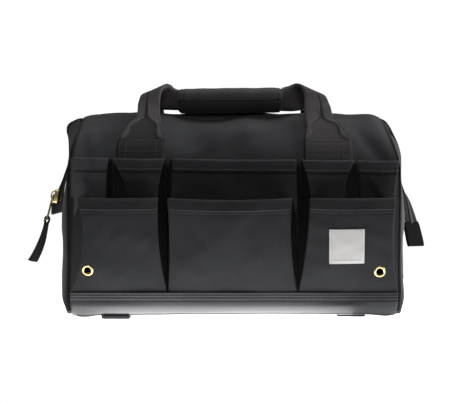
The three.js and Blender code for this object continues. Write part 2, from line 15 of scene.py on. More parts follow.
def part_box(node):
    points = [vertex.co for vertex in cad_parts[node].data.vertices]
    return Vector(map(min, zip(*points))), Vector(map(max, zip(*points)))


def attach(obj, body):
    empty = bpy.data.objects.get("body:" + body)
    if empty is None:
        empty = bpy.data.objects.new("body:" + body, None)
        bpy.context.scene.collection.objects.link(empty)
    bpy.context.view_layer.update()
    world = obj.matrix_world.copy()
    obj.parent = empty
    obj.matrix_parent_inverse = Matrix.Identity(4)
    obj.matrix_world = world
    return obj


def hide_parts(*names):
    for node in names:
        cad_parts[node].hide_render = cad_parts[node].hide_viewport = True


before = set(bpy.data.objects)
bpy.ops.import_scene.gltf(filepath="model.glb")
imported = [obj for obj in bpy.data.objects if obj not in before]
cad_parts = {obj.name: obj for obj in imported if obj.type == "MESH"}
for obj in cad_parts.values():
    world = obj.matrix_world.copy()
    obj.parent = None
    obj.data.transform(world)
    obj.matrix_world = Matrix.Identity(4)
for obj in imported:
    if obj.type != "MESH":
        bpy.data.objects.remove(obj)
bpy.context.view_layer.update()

MM = 0.001
tray_low, tray_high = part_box("base_tray")
MIDDLE = np.array([(tray_low[0] + tray_high[0]) / 2, (tray_low[1] + tray_high[1]) / 2, 0.0])
print("bag's middle in the frame:", MIDDLE.round(4))

# %% [markdown]
# The camera stands in front of the bag, a little above its middle, and looks down by four degrees. A long
# lens keeps the pockets square, as in a catalogue picture.

# %% Camera
VIEW_TARGET = Vector(MIDDLE) + Vector((0, 0, 0.1156))
VIEW_DISTANCE = 1.475
VIEW_DROP = math.radians(4)
IMAGE_WIDTH = 468
FOCAL_LENGTH = 1337  # in pixels of that image
SENSOR = 36

camera_data = bpy.data.cameras.new("studio_camera")
camera_data.sensor_fit = "HORIZONTAL"
camera_data.sensor_width = SENSOR
camera_data.lens = SENSOR * FOCAL_LENGTH / IMAGE_WIDTH
camera = bpy.data.objects.new("studio_camera", camera_data)
bpy.context.collection.objects.link(camera)
back = Vector((0, -math.cos(VIEW_DROP), math.sin(VIEW_DROP)))
camera.location = VIEW_TARGET + back * VIEW_DISTANCE
camera.rotation_mode = "QUATERNION"
camera.rotation_quaternion = (-back).to_track_quat("-Z", "Y")
bpy.context.scene.camera = camera
bpy.context.scene.view_settings.view_transform = "Standard"
print("camera at", [round(c, 3) for c in camera.location])

# %% [markdown]
# One small helper adds a shader node with its settings and its links. Colours are picked as they look on a
# screen, so a second helper turns such a hex colour into the linear numbers that a shader works with. A
# third one works out a pattern's scale from the real size of one of its cells.

# %% Shader helpers
def add(tree, kind, sockets=None, **settings):
    """Adds a node. A socket's value is a plain value or another node's output, which is linked."""
    made = tree.nodes.new(kind)
    for name, value in settings.items():
        setattr(made, name, value)
    for name, value in (sockets or {}).items():
        if isinstance(value, bpy.types.NodeSocket):
            tree.links.new(value, made.inputs[name])
        else:
            made.inputs[name].default_value = value
    return made


def screen_colour(code):
    """A hex colour as seen on a screen, in linear numbers with full cover."""
    parts = [int(code[i:i + 2], 16) / 255 for i in (1, 3, 5)]
    linear = [c / 12.92 if c <= 0.04045 else ((c + 0.055) / 1.055) ** 2.4 for c in parts]
    return (*linear, 1.0)


def repeats(size):
    """How many cells of a pattern fit in a metre, from the size of one cell in millimetres."""
    return 1 / (size * MM)


def blank_finish(name):
    """A new material with its principled shader, and the tree that they are in."""
    finish = bpy.data.materials.new(name)
    finish.use_nodes = True
    return finish, finish.node_tree, finish.node_tree.nodes["Principled BSDF"]


WHITE = screen_colour("#ffffff")
print("shader helpers ready, white is", WHITE)

# %% [markdown]
# The bag stands in a white studio, on a light table: a pale sheet that glows, so that no shadow falls on it
# and the bag is lit from below. A bright card lies on the table, under the front of the bag. Only
# reflections see it, and it makes the round bend of the coated base gleam.

# %% Light table
TABLE_GLOW = 1.58
CARD_GLOW = 5.0


def start_fresh():
    """Nothing selected and nothing being edited, before a new primitive is added."""
    if bpy.context.object and bpy.context.object.mode != "OBJECT":
        bpy.ops.object.mode_set(mode="OBJECT")
    bpy.ops.object.select_all(action="DESELECT")
    bpy.context.tool_settings.mesh_select_mode = (True, False, False)


start_fresh()
bpy.ops.mesh.primitive_grid_add(x_subdivisions=8, y_subdivisions=8, size=1)
floor = bpy.context.object
floor.name = "studio_table"
bpy.ops.transform.resize(value=(0.84, 0.46, 1))
bpy.ops.transform.translate(value=(0.05, 0.016, 0))
bpy.ops.object.transform_apply(location=True, rotation=True, scale=True)
floor_finish, tree, shader = blank_finish("pale_light_table")
shader.inputs["Base Color"].default_value = screen_colour("#f4f4f4")
shader.inputs["Roughness"].default_value = 0.7
shader.inputs["Emission Color"].default_value = WHITE
shader.inputs["Emission Strength"].default_value = TABLE_GLOW
floor.data.materials.append(floor_finish)

start_fresh()
bpy.ops.mesh.primitive_plane_add(size=1, location=(-0.02, -0.088, 0.0002))
card = bpy.context.object
card.name = "studio_shine_card"
bpy.ops.transform.resize(value=(0.3, 0.07, 1))
bpy.ops.object.transform_apply(location=True, rotation=True, scale=True)
card_finish, tree, shader = blank_finish("white_shine_card")
shader.inputs["Emission Color"].default_value = WHITE
shader.inputs["Emission Strength"].default_value = CARD_GLOW
card.data.materials.append(card_finish)
card.visible_camera = False
card.visible_diffuse = False
card.visible_shadow = False
print("table:", floor.name, "and", card.name)

# %% [markdown]
# The world is white to the camera, and dim as a light, so that black cloth keeps its folds. Four soft
# lights shape the bag. The strongest stands at the right and brightens that end wall and the right sides of
# the folds, a weaker one hangs overhead for the shoulder, and two faint ones fill the front and the left.

# %% Studio lights
WORLD_LIGHT = 0.1
WORLD_SEEN = 1.05

world = bpy.data.worlds.new("white_studio")
world.use_nodes = True
bpy.context.scene.world = world
tree = world.node_tree
tree.nodes.clear()
ray = add(tree, "ShaderNodeLightPath")
strength = add(tree, "ShaderNodeMapRange", {"Value": ray.outputs["Is Camera Ray"], "To Min": WORLD_LIGHT,
               "To Max": WORLD_SEEN})
sky = add(tree, "ShaderNodeBackground", {"Color": WHITE, "Strength": strength.outputs["Result"]})
add(tree, "ShaderNodeOutputWorld", {"Surface": sky.outputs["Background"]})


def soft_light(name, place, aim, size, power):
    """A square area light that points from one place at another, in metres and watts."""
    lamp = bpy.data.lights.new(name, "AREA")
    lamp.shape = "SQUARE"
    lamp.size = size
    lamp.energy = power
    holder = bpy.data.objects.new(name, lamp)
    bpy.context.collection.objects.link(holder)
    holder.location = place
    holder.rotation_mode = "QUATERNION"
    holder.rotation_quaternion = (Vector(aim) - Vector(place)).to_track_quat("-Z", "Y")


soft_light("overhead_softbox", (0.1, -0.05, 1.5), (0, 0, 0.1), 0.7, 8.5)
soft_light("left_softbox", (-1.3, -0.3, 0.7), (0, 0, 0.1), 0.8, 0.6)
soft_light("right_softbox", (1.4, 0.1, 0.6), (0, 0, 0.1), 0.8, 24)
soft_light("front_fill", (0, -1.6, 0.9), (0, 0, 0.12), 1.2, 4.2)

# %% [markdown]
# The bag's cloth is a heavy woven polyester with a dull coat on its back: black, but grey in the light,
# because its threads are round and a little glossy. Its threads lie about half a millimetre apart, too fine
# for the camera, so the weave is drawn at twice that. It is two sets of waves, one each way, which press
# each other down. Broad noise gives the cloud of lighter and darker places that handling leaves.

# %% Canvas
WAVE = math.pi / 10  # a band texture of this scale has one band a metre
SLUB = 2.38  # how long the thick places in a yarn are, in millimetres
CLOUD = 38.5  # how large the handled places are, in millimetres


def woven(name, dark, light, pitch, depth, roughness, sheen, shaded=False):
    """Cloth with threads both ways, on a UV map in metres. A thread's pitch and depth are in millimetres.

    The attribute wear_and_painted_light marks worn edges and places painted lighter, and painted_shade
    marks the places where shade is painted, which hardly any light reaches. With shaded, those places lose
    their gloss too.
    """
    finish, tree, shader = blank_finish(name)
    spot = add(tree, "ShaderNodeTexCoord").outputs["UV"]
    warp, weft = (add(tree, "ShaderNodeTexWave", {"Vector": spot, "Scale": WAVE * repeats(pitch),
                      "Distortion": 0.6, "Detail": 1, "Detail Scale": 2}, wave_type="BANDS",
                      bands_direction=way) for way in "XY")
    threads = add(tree, "ShaderNodeMath", {0: warp.outputs["Fac"], 1: weft.outputs["Fac"]},
                  operation="MULTIPLY")
    slub = add(tree, "ShaderNodeTexNoise", {"Vector": spot, "Scale": repeats(SLUB), "Detail": 3})
    height = add(tree, "ShaderNodeMath", {0: slub.outputs["Fac"], 1: 0.6, 2: threads.outputs["Value"]},
                 operation="MULTIPLY_ADD")
    bump = add(tree, "ShaderNodeBump", {"Height": height.outputs["Value"], "Strength": 0.7,
               "Distance": depth * MM})
    cloud = add(tree, "ShaderNodeTexNoise", {"Vector": spot, "Scale": repeats(CLOUD), "Detail": 4,
                "Roughness": 0.6})
    mixed = add(tree, "ShaderNodeMath", {0: cloud.outputs["Fac"], 1: 0.55, 2: threads.outputs["Value"]},
                operation="MULTIPLY_ADD")
    shade = add(tree, "ShaderNodeValToRGB", {"Fac": mixed.outputs["Value"]})
    for stop, place, code in zip(shade.color_ramp.elements, (0.15, 0.95), (dark, light)):
        stop.position, stop.color = place, screen_colour(code)
    # wear along edges and painted light both mix the colour towards a pale grey
    wear_and_painted_light = add(tree, "ShaderNodeAttribute", attribute_name="wear_and_painted_light")
    lightened = add(tree, "ShaderNodeMath", {0: wear_and_painted_light.outputs["Fac"], 1: cloud.outputs["Fac"]}, operation="MULTIPLY")
    paler_colour = add(tree, "ShaderNodeMix", {"Factor": lightened.outputs["Value"], "A": shade.outputs["Color"],
                "B": screen_colour("#5a5b5e")}, data_type="RGBA")
    # painted shade mixes the colour towards near black
    painted_shade = add(tree, "ShaderNodeAttribute", attribute_name="painted_shade")
    colour = add(tree, "ShaderNodeMix", {"Factor": painted_shade.outputs["Fac"], "A": paler_colour.outputs["Result"],
                 "B": screen_colour("#030303")}, data_type="RGBA")
    gloss = add(tree, "ShaderNodeMapRange", {"Value": slub.outputs["Fac"], "To Min": roughness - 0.08,
                "To Max": roughness + 0.1})
    tree.links.new(colour.outputs["Result"], shader.inputs["Base Color"])
    tree.links.new(gloss.outputs["Result"], shader.inputs["Roughness"])
    tree.links.new(bump.outputs["Normal"], shader.inputs["Normal"])
    shader.inputs["Specular IOR Level"].default_value = 0.3
    if shaded:
        dulled = add(tree, "ShaderNodeMapRange", {"Value": painted_shade.outputs["Fac"], "To Min": 0.3,
                     "To Max": 0.015})
        tree.links.new(dulled.outputs["Result"], shader.inputs["Specular IOR Level"])
    shader.inputs["Sheen Weight"].default_value = sheen
    shader.inputs["Sheen Roughness"].default_value = 0.5
    return finish


canvas = woven("black_canvas", "#1d1e20", "#2f3033", 1.1, 0.25, 0.8, 0.06, shaded=True)
grip_cloth = woven("grip_wrap_cloth", "#2a2729", "#403c3f", 0.9, 0.2, 0.7, 0.15)
print("cloth:", canvas.name, grip_cloth.name)

# %% [markdown]
# The base is the same cloth under a thick rubbery coat with a fine pebbled grain. The coat gleams on the
# round bend at the bottom, in the middle of the bag. It is dull where the strip is sewn, and where both of
# its ends were scuffed. So the gloss goes by height and by length. Painted shade darkens the sewn grooves,
# a band just below them and the lower part of the left end.

# %% Coated base
PEBBLE = 1.11  # how large the grain is, in millimetres, drawn coarser than it is so that it shows
SCUFF = 41.7  # how large the scuffed places are, in millimetres

coated, tree, shader = blank_finish("coated_base_cloth")
spot = add(tree, "ShaderNodeTexCoord").outputs["Object"]
pebble = add(tree, "ShaderNodeTexVoronoi", {"Vector": spot, "Scale": repeats(PEBBLE)}, feature="SMOOTH_F1")
scuff = add(tree, "ShaderNodeTexNoise", {"Vector": spot, "Scale": repeats(SCUFF), "Detail": 6,
            "Roughness": 0.6})
shade = add(tree, "ShaderNodeValToRGB", {"Fac": scuff.outputs["Fac"]})
for stop, place, code in zip(shade.color_ramp.elements, (0.3, 0.8), ("#232428", "#34353a")):
    stop.position, stop.color = place, screen_colour(code)
gloss = add(tree, "ShaderNodeMapRange", {"Value": scuff.outputs["Fac"], "From Min": 0.3, "From Max": 0.7,
            "To Min": 0.1, "To Max": 0.3})
where = add(tree, "ShaderNodeSeparateXYZ", {"Vector": spot})
sewn = add(tree, "ShaderNodeMapRange", {"Value": where.outputs["Z"], "From Min": 6.5 * MM,
           "From Max": 15.5 * MM})
right_end = add(tree, "ShaderNodeMapRange", {"Value": where.outputs["X"], "From Min": 60 * MM,
                "From Max": 140 * MM})
left_end = add(tree, "ShaderNodeMapRange", {"Value": where.outputs["X"], "From Min": -110 * MM,
               "From Max": -150 * MM, "To Max": 0.7})
dull = add(tree, "ShaderNodeMath", {0: sewn.outputs["Result"], 1: right_end.outputs["Result"]},
           operation="MAXIMUM")
dull = add(tree, "ShaderNodeMath", {0: dull.outputs["Value"], 1: left_end.outputs["Result"]},
           operation="MAXIMUM")
rough = add(tree, "ShaderNodeMath", {0: dull.outputs["Value"], 1: 0.35, 2: gloss.outputs["Result"]},
            operation="MULTIPLY_ADD")
coat = add(tree, "ShaderNodeMapRange", {"Value": dull.outputs["Value"], "To Min": 0.8, "To Max": 0.0})
# painted shade: darkens the sewn grooves, a band below them and the left end's lower part, and dulls their
# shine
groove = add(tree, "ShaderNodeAttribute", attribute_name="painted_shade")
shine = add(tree, "ShaderNodeMapRange", {"Value": groove.outputs["Fac"], "To Min": 0.65, "To Max": 0.0})
shine = add(tree, "ShaderNodeMath", {0: right_end.outputs["Result"], 1: -0.3, 2: shine.outputs["Result"]},
            operation="MULTIPLY_ADD", use_clamp=True)
colour = add(tree, "ShaderNodeMix", {"Factor": groove.outputs["Fac"], "A": shade.outputs["Color"],
             "B": screen_colour("#08080a")}, data_type="RGBA")
bump = add(tree, "ShaderNodeBump", {"Height": pebble.outputs["Distance"], "Strength": 0.5,
           "Distance": 0.2 * MM})
tree.links.new(colour.outputs["Result"], shader.inputs["Base Color"])
tree.links.new(coat.outputs["Result"], shader.inputs["Coat Weight"])
tree.links.new(shine.outputs["Value"], shader.inputs["Specular IOR Level"])
tree.links.new(rough.outputs["Value"], shader.inputs["Roughness"])
tree.links.new(bump.outputs["Normal"], shader.inputs["Normal"])
shader.inputs["Coat Roughness"].default_value = 0.2
print("coat:", coated.name)

# %% [markdown]
# The handles, the zip's tape and folded ends and the strap on the pull are flat webbing: thick yarns that
# run along the strap in ribs, crossed by a fine weft, with a soft shine on their round backs. The ribs are
# drawn a little wider than they are, so that they show. On the UV map, U runs along a strap and V across
# it, in metres.

# %% Webbing
YARN_CLOUD = 25  # how large the lighter and darker places are, in millimetres


def ribbed(name, dark, light, rib, depth, gloss):
    """Webbing with ribs along U, crossed by a weft. A rib's width and depth are in millimetres.

    The attribute painted_shade marks where shade is painted on it.
    """
    finish, tree, shader = blank_finish(name)
    spot = add(tree, "ShaderNodeTexCoord").outputs["UV"]
    ribs = add(tree, "ShaderNodeTexWave", {"Vector": spot, "Scale": WAVE * repeats(rib), "Distortion": 0.4},
               wave_type="BANDS", bands_direction="Y")
    weft = add(tree, "ShaderNodeTexWave", {"Vector": spot, "Scale": WAVE * repeats(rib * 0.8),
               "Distortion": 1.0}, wave_type="BANDS", bands_direction="DIAGONAL")
    height = add(tree, "ShaderNodeMath", {0: weft.outputs["Fac"], 1: 0.45, 2: ribs.outputs["Fac"]},
                 operation="MULTIPLY_ADD")
    bump = add(tree, "ShaderNodeBump", {"Height": height.outputs["Value"], "Strength": 0.8,
               "Distance": depth * MM})
    cloud = add(tree, "ShaderNodeTexNoise", {"Vector": spot, "Scale": repeats(YARN_CLOUD), "Detail": 4})
    mixed = add(tree, "ShaderNodeMath", {0: cloud.outputs["Fac"], 1: 0.6, 2: height.outputs["Value"]},
                operation="MULTIPLY_ADD")
    shade = add(tree, "ShaderNodeValToRGB", {"Fac": mixed.outputs["Value"]})
    for stop, place, code in zip(shade.color_ramp.elements, (0.2, 1.0), (dark, light)):
        stop.position, stop.color = place, screen_colour(code)
    # painted shade mixes the colour towards near black, and dulls the gloss there
    painted_shade = add(tree, "ShaderNodeAttribute", attribute_name="painted_shade")
    colour = add(tree, "ShaderNodeMix", {"Factor": painted_shade.outputs["Fac"], "A": shade.outputs["Color"],
                 "B": screen_colour("#0b090a")}, data_type="RGBA")
    tree.links.new(colour.outputs["Result"], shader.inputs["Base Color"])
    tree.links.new(bump.outputs["Normal"], shader.inputs["Normal"])
    shader.inputs["Roughness"].default_value = 0.62
    shader.inputs["Specular IOR Level"].default_value = gloss
    if gloss:
        dulled = add(tree, "ShaderNodeMapRange", {"Value": painted_shade.outputs["Fac"], "To Min": gloss,
                     "To Max": gloss * 0.3})
        tree.links.new(dulled.outputs["Result"], shader.inputs["Specular IOR Level"])
    shader.inputs["Sheen Weight"].default_value = gloss * 0.4
    shader.inputs["Sheen Roughness"].default_value = 0.4
    return finish


webbing = ribbed("black_webbing", "#252123", "#3a3538", 1.6, 0.2, 0.35)
tape_cloth = ribbed("zip_tape_weave", "#211f20", "#353234", 1.1, 0.2, 0.05)
end_cloth = ribbed("zip_end_webbing", "#0f0f0f", "#1c1c1d", 1.6, 0.3, 0.0)
print("straps:", webbing.name, tape_cloth.name, end_cloth.name)

# %% [markdown]
# The last finishes are small: pale brass for the eyelets, slider and pull, a white woven label, black
# rubber for the feet, nylon for the zip's coil and spun thread for the seams. Brass is a metal, so its
# colour is its reflection, and fine scratches change its roughness. Rubber is moulded and dull, and nylon
# and thread have a faint gloss. One noise, as fine as each one's grain, can do all of these.

# %% Brass, label, rubber, nylon and thread
def plain_finish(name, low, high, grain, rough, depth, metal=0.0, shine=0.5):
    """A colour that drifts on noise, with the same noise in its roughness and bump, in millimetres."""
    finish, tree, shader = blank_finish(name)
    spot = add(tree, "ShaderNodeTexCoord").outputs["Object"]
    noise = add(tree, "ShaderNodeTexNoise", {"Vector": spot, "Scale": repeats(grain), "Detail": 5,
                "Roughness": 0.6})
    shade = add(tree, "ShaderNodeValToRGB", {"Fac": noise.outputs["Fac"]})
    for stop, place, code in zip(shade.color_ramp.elements, (0.3, 0.7), (low, high)):
        stop.position, stop.color = place, screen_colour(code)
    gloss = add(tree, "ShaderNodeMapRange", {"Value": noise.outputs["Fac"], "To Min": rough[0],
                "To Max": rough[1]})
    bump = add(tree, "ShaderNodeBump", {"Height": noise.outputs["Fac"], "Strength": 0.4,
               "Distance": depth * MM})
    tree.links.new(shade.outputs["Color"], shader.inputs["Base Color"])
    tree.links.new(gloss.outputs["Result"], shader.inputs["Roughness"])
    tree.links.new(bump.outputs["Normal"], shader.inputs["Normal"])
    shader.inputs["Metallic"].default_value = metal
    shader.inputs["Specular IOR Level"].default_value = shine
    return finish


SPUN = 0.667  # how fine a spun thread's grain is, in millimetres
brass = plain_finish("pale_brass", "#e2cf8e", "#f1e3ad", 1.43, (0.18, 0.34), 0.03, metal=1.0)
rubber = plain_finish("black_rubber", "#1b1c1e", "#28292b", 2.0, (0.5, 0.7), 0.1, shine=0.22)
nylon = plain_finish("black_nylon_coil", "#1a1a1c", "#2a2a2c", 1.11, (0.35, 0.5), 0.05)
thread = plain_finish("black_thread", "#343438", "#55555b", SPUN, (0.4, 0.55), 0.08)
strap_thread = plain_finish("black_strap_thread", "#1c191b", "#322e30", SPUN, (0.5, 0.65), 0.06)
base_thread = plain_finish("grey_base_thread", "#26262a", "#3c3c41", SPUN, (0.6, 0.75), 0.06, shine=0.0)
pale_thread = plain_finish("white_thread", "#cfcecc", "#ecebe9", SPUN, (0.5, 0.65), 0.06)
label_cloth = woven("white_woven_label", "#c6c4c3", "#e9e8e7", 0.9, 0.15, 0.75, 0.1)
print("small finishes:", brass.name, rubber.name, nylon.name, thread.name, label_cloth.name)

# %% [markdown]
# Measures are in millimetres from the bag's middle, at floor height, as on a maker's drawing. A few helpers
# turn them to the frame, ease from one value to another, draw a smooth curve through points, and add the
# two kinds of folds that cloth has: crumples of no one direction, and single creases along a line.

# %% Places, curves and folds
def to_frame(points):
    """Millimetres from the bag's middle, at floor height, to metres in the frame."""
    return np.asarray(points, float) * MM + MIDDLE


def ease(value, low, high):
    """0 below low, 1 above high, and a smooth rise between."""
    t = np.clip((value - low) / (high - low), 0, 1)
    return t * t * (3 - 2 * t)


def run_along(points):
    """How far along a line of points each one is, from 0 at the first."""
    return np.concatenate([[0], np.cumsum(np.linalg.norm(np.diff(points, axis=0), axis=1))])


def smooth_path(points, count):
    """Evenly spaced points on a smooth curve through the given ones. Columns past the third go along."""
    p = np.asarray(points, float)
    p = np.vstack([2 * p[0] - p[1], p, 2 * p[-1] - p[-2]])
    steps = np.linalg.norm(np.diff(p[:, :3], axis=0), axis=1) ** 0.5
    t = np.concatenate([[0], np.cumsum(np.maximum(steps, 1e-6))])
    dense = []
    for i in range(1, len(p) - 2):
        s = np.linspace(t[i], t[i + 1], 30, endpoint=i == len(p) - 3)[:, None]
        a = [((t[k + 1] - s) * p[k] + (s - t[k]) * p[k + 1]) / (t[k + 1] - t[k])
             for k in (i - 1, i, i + 1)]
        b = [((t[k + 2] - s) * a[k - i + 1] + (s - t[k]) * a[k - i + 2]) / (t[k + 2] - t[k])
             for k in (i - 1, i)]
        dense.append(((t[i + 1] - s) * b[0] + (s - t[i]) * b[1]) / (t[i + 1] - t[i]))
    dense = np.vstack(dense)
    run = run_along(dense[:, :3])
    even = np.linspace(0, run[-1], count)
    return np.column_stack([np.interp(even, run, dense[:, k]) for k in range(dense.shape[1])])


def crumple(across, upward, wave, seed):
    """Soft folds of no one direction, from about -1 to 1."""
    dice = np.random.default_rng(seed)
    total = 0
    for turn, phase, stretch in dice.uniform((0, 0, 0.7), (math.pi, 2 * math.pi, 1.6), (7, 3)):
        along = across * math.cos(turn) + upward * math.sin(turn)
        total = total + np.sin(along * 2 * math.pi / (wave * stretch) + phase)
    return total / 3.4


def crease(across, upward, start, end, width):
    """A fold along a line on the cloth: 1 on the line, fading to its sides and its ends."""
    run = np.subtract(end, start)
    length = np.hypot(*run)
    along = ((across - start[0]) * run[0] + (upward - start[1]) * run[1]) / length
    off = ((across - start[0]) * run[1] - (upward - start[1]) * run[0]) / length
    ends = ease(along, 0, length * 0.3) * (1 - ease(along, length * 0.6, length))
    return np.exp(-(off / width) ** 2) * ends


print("a millimetre from the bag's middle is at", to_frame((1, 1, 1)).round(4))

# %% [markdown]
# Cloth panels start as a flat grid, like a cut piece on the table. A rule then carries every point of the
# cut to its place on the standing bag, Solidify gives the cloth its thickness, and one subdivision rounds
# its folded edges. A cloth simulation could drape them, but each fold has its own place on this bag. The UV
# map keeps the size of the cut, so the weave has one scale on every panel.

# %% Laying out cloth
def just_made(name):
    """The primitive that was added last, with its name."""
    piece = bpy.context.object
    piece.name = name
    piece.data.name = name
    return piece


def edit_all():
    """Goes into edit mode with everything selected."""
    bpy.ops.object.mode_set(mode="EDIT")
    bpy.ops.mesh.select_all(action="SELECT")


def flat_grid(name, columns, rows):
    """A grid, where each point is on it, from 0 to 1 each way, and the point at each corner of its faces."""
    start_fresh()
    bpy.ops.mesh.primitive_grid_add(x_subdivisions=columns, y_subdivisions=rows, size=2)
    piece = just_made(name)
    flat = np.empty(len(piece.data.vertices) * 3)
    piece.data.vertices.foreach_get("co", flat)
    corner = np.empty(len(piece.data.loops), int)
    piece.data.loops.foreach_get("vertex_index", corner)
    return piece, (flat.reshape(-1, 3)[:, :2] + 1) / 2, corner


def lay_cloth(name, columns, rows, rule, cut, facing):
    """A grid carried to its place by rule(u, v), in millimetres, with its faces turned towards facing."""
    piece, share, corner = flat_grid(name, columns, rows)
    mesh = piece.data
    mesh.vertices.foreach_set("co", to_frame(rule(share[:, 0], share[:, 1])).ravel())
    mesh.uv_layers[0].data.foreach_set("uv", (share[corner] * np.array(cut) * MM).ravel())
    mesh.update()
    turned = sum(f.normal.dot(Vector(facing)) * f.area for f in mesh.polygons)
    if turned < 0:
        edit_all()
        bpy.ops.mesh.flip_normals()
        bpy.ops.object.mode_set(mode="OBJECT")
    return piece, share


def mark(piece, name, values):
    """Writes one number a point to the mesh, as an attribute that a finish can read."""
    layer = piece.data.attributes.new(name, "FLOAT", "POINT")
    layer.data.foreach_set("value", np.asarray(values, float))


def thicken(piece, thickness, hem=None):
    """Gives cloth its thickness, inwards. hem is 0 to 1 a point, where 1 is cloth folded double."""
    bpy.context.view_layer.objects.active = piece
    wall = piece.modifiers.new("cloth_thickness", "SOLIDIFY")
    wall.thickness = thickness * MM
    wall.offset = -1
    if hem is not None:
        group = piece.vertex_groups.new(name="hem")
        for index, value in enumerate(hem):
            group.add([index], float(value), "REPLACE")
        wall.thickness = thickness * 2 * MM
        wall.vertex_group = "hem"
        wall.thickness_vertex_group = 0.5
    soft = piece.modifiers.new("soft_edges", "SUBSURF")
    soft.levels = 1
    soft.render_levels = 1
    for name in [m.name for m in piece.modifiers]:
        bpy.ops.object.modifier_apply(modifier=name)
    bpy.ops.object.shade_smooth()


def hand_over(piece, finish, slot, *nodes, body="bag"):
    """Gives a finished piece its material and its body, and hides the CAD parts that it stands for."""
    piece.data.materials.clear()
    piece.data.materials.append(finish)
    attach(piece, body)
    if nodes:
        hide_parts(*nodes)
    print(f"{piece.name}: {len(piece.data.polygons)} faces")


print("finishes for the pieces:", len(bpy.data.materials))

# %% [markdown]
# The bag's side view is one curve: up from the base, in over a round shoulder, and on to a lip beside the
# zip. Everything that lies on the bag takes its place from this profile. Towards both ends the sheets grow
# narrower above the shoulder, and the ridge drops.

# %% Sheet profile
HALF_WIDTH = 170
CLOTH_FOOT = 20.5
SHOULDER = 150
LIP_UP = 213
PROFILE = [(96, CLOTH_FOOT), (96, 28), (96, 90), (96, 140), (92.5, 166), (76, 188), (44, 204), (11, LIP_UP)]
profile = smooth_path([(o, u, 0) for o, u in PROFILE], 300)[:, :2]
profile_step = np.gradient(profile, axis=0)
profile_step /= np.linalg.norm(profile_step, axis=1)[:, None]


def half_width_at(up, side):
    """Half the bag's width at this height. The right end leans in more than the left."""
    return HALF_WIDTH - np.where(np.asarray(side) < 0, 6.0, 9.5) * ease(up, SHOULDER, LIP_UP)


def end_drop(side):
    """How far the ridge drops at an end."""
    return np.where(np.asarray(side) < 0, 4.2, 6.0)


def ridge_drop(x):
    """How far the ridge drops at this place, only close to the ends."""
    return end_drop(x) * np.maximum(0, (np.abs(x) - 138) / 32) ** 3


sheet_length = np.linalg.norm(np.diff(profile, axis=0), axis=1).sum()
print("a sheet is", round(sheet_length, 1), "mm from its foot to its lip")

# %% [markdown]
# The front and back are one sheet each, sewn along a folded lip. The empty bag's ridge sags a little left of
# its middle. Soft crumples and a few long folds keep the sheets from looking like pressed metal. The lip is
# rubbed and the left end is paler. Shade is painted along both sides of each sheet and, on the front sheet,
# in the gaps between the pockets, where hardly any light reaches.

# %% Front and back panels
LIP_SEAM = 0.949  # how far up the sheet the lip is sewn
# long folds on the shoulders: height, start, end and width
SHEET_FOLDS = [(3.8, (-62, 160), (6, 200), 6), (2.8, (78, 208), (-8, 184), 6),
               (-3.0, (-166, 146), (-122, 210), 7), (-2.4, (164, 148), (126, 210), 7),
               (1.8, (-162, 208), (-140, 160), 4.5), (1.7, (-148, 178), (-108, 205), 4.5)]


def sheet_rule(side, sag, swell, rise, crown):
    """The rule for one main sheet: side is -1 for the front and 1 for the back.

    sag lowers the ridge, swell fills the sheet's lower part, and rise and crown lift the lip.
    """
    def rule(u, v):
        spot = v * (len(profile) - 1)
        index = np.arange(len(profile))
        out, up = (np.interp(spot, index, profile[:, k]) for k in (0, 1))
        run_out, run_up = (np.interp(spot, index, profile_step[:, k]) for k in (0, 1))
        x = (2 * u - 1) * HALF_WIDTH
        high = ease(up, 140, 175) * (1 - ease(v, 0.93, 1.0) * 0.6)
        lift = 2.6 * crumple(x, up * 1.4, 95, 11 + side) * high + 1.1 * crumple(x, up, 36, 5 + side) * high
        for depth, *fold in SHEET_FOLDS:
            lift = lift + depth * crease(x, up, *fold) * high
        lift = lift + swell * (1 - ease(up, 90, 175)) * ease(up, 24, 70) * (1 - (x / HALF_WIDTH) ** 2)
        lift = lift + 0.5 * ease(v, 0.945, 0.955) - 0.5 * np.exp(-((v - LIP_SEAM) / 0.004) ** 2)
        lift = lift * (1 - ease(np.abs(x), 155, 170) * 0.8)
        out = out + lift * run_up
        up = up - lift * run_out
        drop = (sag * np.exp(-((x + 18) / 40) ** 2) * ease(up, 192, LIP_UP)
                + ridge_drop(x) * ease(up, SHOULDER, LIP_UP))
        x = x * half_width_at(up, x) / HALF_WIDTH
        drop = drop - (rise + crown * np.exp(-((x + 4) / 54) ** 4)) * ease(up, 196, LIP_UP)
        return np.column_stack([x, side * out, up - drop])
    return rule


sheets = {}
SHEETS = {"front_sheet": (-1, 6.5, 0.0, 0.0, 0.0), "back_sheet": (1, 1.0, 4.0, -1.0, 3.2)}
POCKET_GAPS = (-68.1, 66.6)
for name, (side, *shape) in SHEETS.items():
    columns = 84 if side < 0 else 64
    cut = (2 * HALF_WIDTH, sheet_length)
    piece, share = lay_cloth(name, columns, 60, sheet_rule(side, *shape), cut, (0, side, 0.6))
    # the lip is rubbed, and the left end is made paler
    worn_lip, pale_left_end = ease(share[:, 1], 0.985, 1.0) * 0.5, 0.35 * (1 - ease(share[:, 0], 0.03, 0.2))
    mark(piece, "wear_and_painted_light", np.maximum(worn_lip, pale_left_end))
    # painted shade along both sides of each sheet, and on the front sheet in the gaps between the pockets
    shade = 0.7 * ease(np.abs(2 * share[:, 0] - 1), 0.982, 0.992)
    if side < 0:
        for x in POCKET_GAPS:
            gap = np.exp(-(((2 * share[:, 0] - 1) * HALF_WIDTH - x) / 4) ** 2)
            shade = np.maximum(shade, 0.9 * gap * (1 - ease(share[:, 1] * sheet_length, 136, 144)))
    mark(piece, "painted_shade", shade)
    thicken(piece, 1.6)
    hand_over(piece, canvas, "canvas", name.replace("sheet", "panel"))
    sheets[name] = piece

